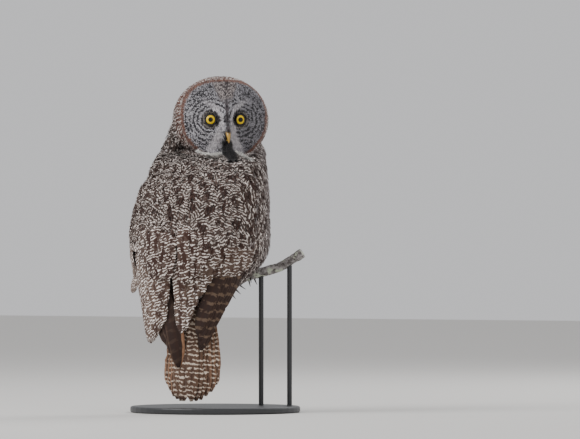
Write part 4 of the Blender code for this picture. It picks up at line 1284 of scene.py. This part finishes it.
def tip_fall(label, f, side):
    """How the tips of a tier step from the leading edge inwards."""
    if label == "secondaries" and side < 0:
        return 1.30 * step(-0.15, 0.40, f) - 1.2 * max(0.0, f - 0.5) ** 2
    if label == "primaries":
        highest, lowest = TIERS[label][2]
        return f + np.sin(math.pi * np.minimum(1.0, f * 1.15)) * (PRIMARY_ARCH / (highest - lowest))
    if label in ("secondaries", "great_coverts"):
        return step(0.40, 1.0, f)
    return f


def wing_batches(side, label, draw):
    """Feathers of one tier of a wing, laid on the folded wing's surface."""
    count, root_z, tip_z, root_angle, tip_angle, half, lift = TIERS[label]
    if label == "secondaries":
        root_angle, tip_angle = SECONDARY_ROOTS, SECONDARY_TIPS if side > 0 else tip_angle
    look = LOOKS[label if label in LOOKS else "coverts"]
    if side > 0:
        look = dict(look, slope=look["slope"] * RIGHT_SLOPE, edge=(look["edge"][0] * RIGHT_EDGE, 0.0))
    rise = step(0.0, 0.30, VANE_T)
    made = []
    for number in range(count):
        f = number / (count - 1)
        low = blend(*tip_z, tip_fall(label, f, side)) + draw.uniform(-0.002, 0.002)
        z = blend(blend(*root_z, f), low, VANE_T)
        bow = 1.5 * np.sin(math.pi * VANE_T) * draw.uniform(-1, 1)
        angle = blend(blend(*root_angle, f), blend(*tip_angle, f) + draw.uniform(-1, 1), VANE_T) + bow
        out = blend(lift[0], lift[1] - 0.0004 * (count - 1 - number), rise)
        centres = wing_sheet(angle, z, out, side)
        outs = unit(wing_sheet(angle, z, out + 0.01, side) - centres)
        across = unit(np.cross(outs, unit(np.gradient(centres, axis=0)))) * side
        widths = half * feather_width(VANE_T) * draw.uniform(0.94, 1.06)
        made.append((centres, outs, across, widths, -SHINGLE_TILT * rise, look))
    return made


def bend_tuft(draw):
    """Loose feathers along the bend of the left wing, the lower ones sticking out."""
    t = VANE_T
    edge = wing_sheet(BEND_ANGLE, BEND_HEIGHT, 0.0, -1) @ AWAY
    outs = rows_of(unit(-AWAY - RIGHT * 0.35), VANE_ROWS)
    made = []
    for number, (root, tip) in enumerate(BEND_TUFT):
        away = edge - BEND_NEAR - BEND_STEP * number + 0.006 * t
        path = seen_place(blend(root[0], tip[0], t ** 1.4), away, blend(root[1], tip[1], t))
        across = unit(np.cross(unit(np.gradient(path, axis=0)), outs))
        widths = draw.uniform(*BEND_HALVES) * feather_width(t)
        made.append((path, outs, across, widths, 0 * t, LOOKS["loose"]))
    return made


def wing(side):
    """All large feathers of one wing."""
    draw = np.random.default_rng(SEED + 60 + side)
    batches = []
    for label in TIERS:
        if side < 0 or label not in LEFT_TIERS:
            batches += wing_batches(side, label, draw)
    if side < 0:
        batches += bend_tuft(draw)
    hand = "right" if side > 0 else "left"
    piece = vanes(f"{hand}_wing_feathers", batches, draw)
    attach(piece, "root")
    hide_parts(f"wing_{hand}")


def tail_feather(pair, turn, draw):
    """One tail feather: its pair counted from the middle, and the side it is on."""
    t = VANE_T
    share = pair / (TAIL_PAIRS - 1)
    root_x = turn * (TAIL_ROOT_SIDE + TAIL_ROOT_STEP * pair)
    tip_x = turn * (TAIL_TIP_SIDE + (TAIL_HALF_WIDTH - TAIL_TIP_SIDE) * share)
    low = TAIL_TIP_Z + TAIL_OUTER_RISE * share ** 2.4 + draw.uniform(0.0008, 0.003)
    deep = TAIL_ROOT[1] + 0.0015 + TAIL_STEP * pair + (TAIL_STEP / 2 if turn < 0 else 0.0)
    x = blend(root_x, tip_x, t ** 0.75)
    y = deep - 0.010 * t + 0.04 * x * x / TAIL_HALF_WIDTH
    across = unit(together(np.ones_like(x), 0.08 * x / TAIL_HALF_WIDTH, 0 * x))
    worn = 0.10 + (0.75 if turn < 0 else 0.30) * step(0.3, 0.7, share)
    look = dict(LOOKS["tail"], edge=tuple(e * worn for e in LOOKS["tail"]["edge"][::-turn]))
    centres = together(x, y, blend(TAIL_ROOT[2], low, t))
    return centres, unit(np.cross(across, UP)), across, TAIL_FEATHER_HALF * feather_width(t), 0 * t, look


def tail():
    """Twelve barred tail feathers, the middle pair on top."""
    draw = np.random.default_rng(SEED + 80)
    batches = [tail_feather(pair, turn, draw) for pair in range(TAIL_PAIRS - 1, -1, -1) for turn in (1, -1)]
    piece = vanes("tail_feathers", batches, draw)
    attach(piece, "root")
    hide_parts("tail")


def seated(name, spot, way):
    """The primitive just added, under its name, at its spot and facing its way."""
    made = bpy.context.active_object
    made.name = name
    made.rotation_euler = Vector(way).to_track_quat("Z", "Y").to_euler()
    made.location = Vector(spot)
    bpy.ops.object.transform_apply(location=True, rotation=True, scale=True)
    made.data.shade_smooth()
    return made


def eyes():
    """Each eyeball with its bulging cornea and iris, and its dark lids."""
    finish = eye_finish()
    lid_skin = lid_finish()
    for turn, node in ((-1, "eye_right"), (1, "eye_left")):
        centre = HEAD_CENTRE + SIDE * (turn * EYE_SIDE) + UP * EYE_UP + FORWARD * EYE_FORWARD
        look = unit(FORWARD + SIDE * EYE_TURNS[turn])
        bpy.ops.object.select_all(action="DESELECT")
        bpy.ops.mesh.primitive_uv_sphere_add(segments=64, ring_count=48, radius=EYE_RADIUS)
        ball = seated(node + "_ball", centre, look)
        places, _, _ = arrays_of(ball.data)
        away = (places - centre) / EYE_RADIUS
        ahead = away @ look
        reach = np.sqrt(np.clip(1 - ahead ** 2, 0, 1)) * EYE_RADIUS
        reach = np.where(ahead > 0, reach, EYE_RADIUS * 2)
        bulge = CORNEA_OUT * np.exp(-(reach / CORNEA_WIDTH) ** 2) * (ahead > 0)
        move_points(ball, places + away * bulge[:, None])
        paint(ball.data, {"reach": reach})
        ball.data.materials.append(finish)
        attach(ball, "root")
        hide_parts(node)
        lid_ring(node, centre, look, LID_NARROWING[turn], lid_skin)


def lid_ring(node, centre, look, narrowing, finish):
    """The bare black lids, a soft ring that dips a little over the top of the iris."""
    bpy.ops.object.select_all(action="DESELECT")
    bpy.ops.mesh.primitive_torus_add(major_radius=LID_RADIUS, minor_radius=LID_HALF, major_segments=48,
                                     minor_segments=12)
    seat = centre + look * math.sqrt(EYE_RADIUS ** 2 - LID_SEAT ** 2)
    ring = seated(node.replace("eye", "lid"), seat, look)
    places, _, _ = arrays_of(ring.data)
    away = places - seat
    high = away @ UP / LID_RADIUS
    aside = away @ SIDE
    dip = step(0.2, 1.0, high) * 0.0013 + step(-0.4, -1.0, high) * -0.0004
    corner = LID_CORNER_OUT * (1 - narrowing) * step(0.2, 1.0, np.abs(aside) / LID_RADIUS)
    inward = SIDE * (aside * (narrowing - 1))[:, None]
    outward = look * (0.0008 * step(0, 1, high) + corner)[:, None]
    move_points(ring, places - UP * dip[:, None] + inward + outward)
    ring.data.materials.append(finish)
    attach(ring, "root")


def refined_parts():
    """Bill and claws as smooth fine copies of their solids."""
    bill = horn_finish("bill_horn", ("bd9530", "9c7426"), 0.32, 0.4)
    claw = horn_finish("claw_horn", ("1b1715", "3a322e"), 0.28, 0.5)
    claws = [f"claw_{hand}_{number}" for hand in ("left", "right") for number in range(1, 5)]
    for nodes, slot, finish, passes in (
        (("bill_upper", "bill_lower"), "bill_horn", bill, 5),
        (claws, "claw_horn", claw, 2),
    ):
        for node in nodes:
            fine = remeshed(joined_copy(node + "_fine", (node,)), HORN_VOXEL, passes)
            fine.data.materials.append(finish)
            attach(fine, "root")
            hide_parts(node)


def bark_height(place):
    """Height of the bark at a place: broad knots with finer scales on them."""
    spot = Vector(place)
    return noise_vector(spot * 70)[0] + 0.6 * noise_vector(spot * 190)[1]


def perch():
    """The cut branch with its uneven bark; the noise is seeded, so that it is the same each time."""
    made = remeshed(joined_copy("branch_bark", ("perch",)), BARK_VOXEL, 2)
    places, normals, _ = arrays_of(made.data)
    seed_set(SEED)
    rough = np.array([bark_height(place) for place in places.tolist()])
    move_points(made, places + normals * (rough * 0.0011)[:, None])
    made.data.materials.append(bark_finish())
    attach(made, "root")
    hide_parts("perch")


def stand():
    """The display stand keeps its solids, with their paint."""
    finish = paint_finish()
    for node in ("stand_base", "stand_rod_1", "stand_rod_2"):
        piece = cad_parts[node]
        piece.data.materials.clear()
        piece.data.materials.append(finish)


def floor_and_sky():
    """Pale floor and even soft light from all round."""
    bpy.ops.object.select_all(action="DESELECT")
    bpy.ops.mesh.primitive_plane_add(size=14.0, location=(0, 3.0, -0.0005))
    floor = bpy.context.active_object
    floor.name = "studio_floor"
    made, tree, shader = new_finish("pale_floor")
    feed(tree, shader, {"Base Color": linear("d9d7d3"), "Roughness": 0.9})
    floor.data.materials.append(made)
    world = bpy.data.worlds.new("studio")
    bpy.context.scene.world = world
    world.use_nodes = True
    sky = world.node_tree.nodes["Background"]
    feed(world.node_tree, sky, {"Color": (0.91, 0.91, 0.93, 1.0), "Strength": 0.75})


# Soft lamps: place, power in watts and size; they shine on the middle of the owl
LAMPS = {
    "key": ((-1.4, -2.2, 2.6), 75.0, 1.6),
    "fill": ((2.6, -1.6, 1.4), 12.0, 2.0),
    "rim": ((0.6, 2.6, 2.2), 45.0, 1.4),
}
LAMP_TARGET = Vector((0.0, 0.0, 0.34))


def lamps():
    """The three lamps of the studio."""
    for name, (place, power, size) in LAMPS.items():
        lamp = bpy.data.lights.new(name, "AREA")
        lamp.energy = power
        lamp.size = size
        holder = new_object(name, lamp)
        holder.location = place
        holder.rotation_euler = (Vector(place) - LAMP_TARGET).to_track_quat("Z", "Y").to_euler()


def camera():
    """The camera at the photo's angle."""
    lens = bpy.data.cameras.new("camera")
    lens.sensor_width = SENSOR
    lens.lens = SENSOR * CAMERA_DISTANCE / (PHOTO_WIDTH * METRES_PER_PIXEL)
    lens.clip_end = 100.0
    made = new_object("camera", lens)
    made.location = CAMERA_TARGET - Vector(AWAY) * CAMERA_DISTANCE
    made.rotation_euler = (math.pi / 2, 0, AZIMUTH)
    bpy.context.scene.camera = made


body_coat()
bristles()
moustaches()
foot_coat()
skin()
wing(1)
wing(-1)
tail()
eyes()
refined_parts()
perch()
stand()
floor_and_sky()
lamps()
camera()
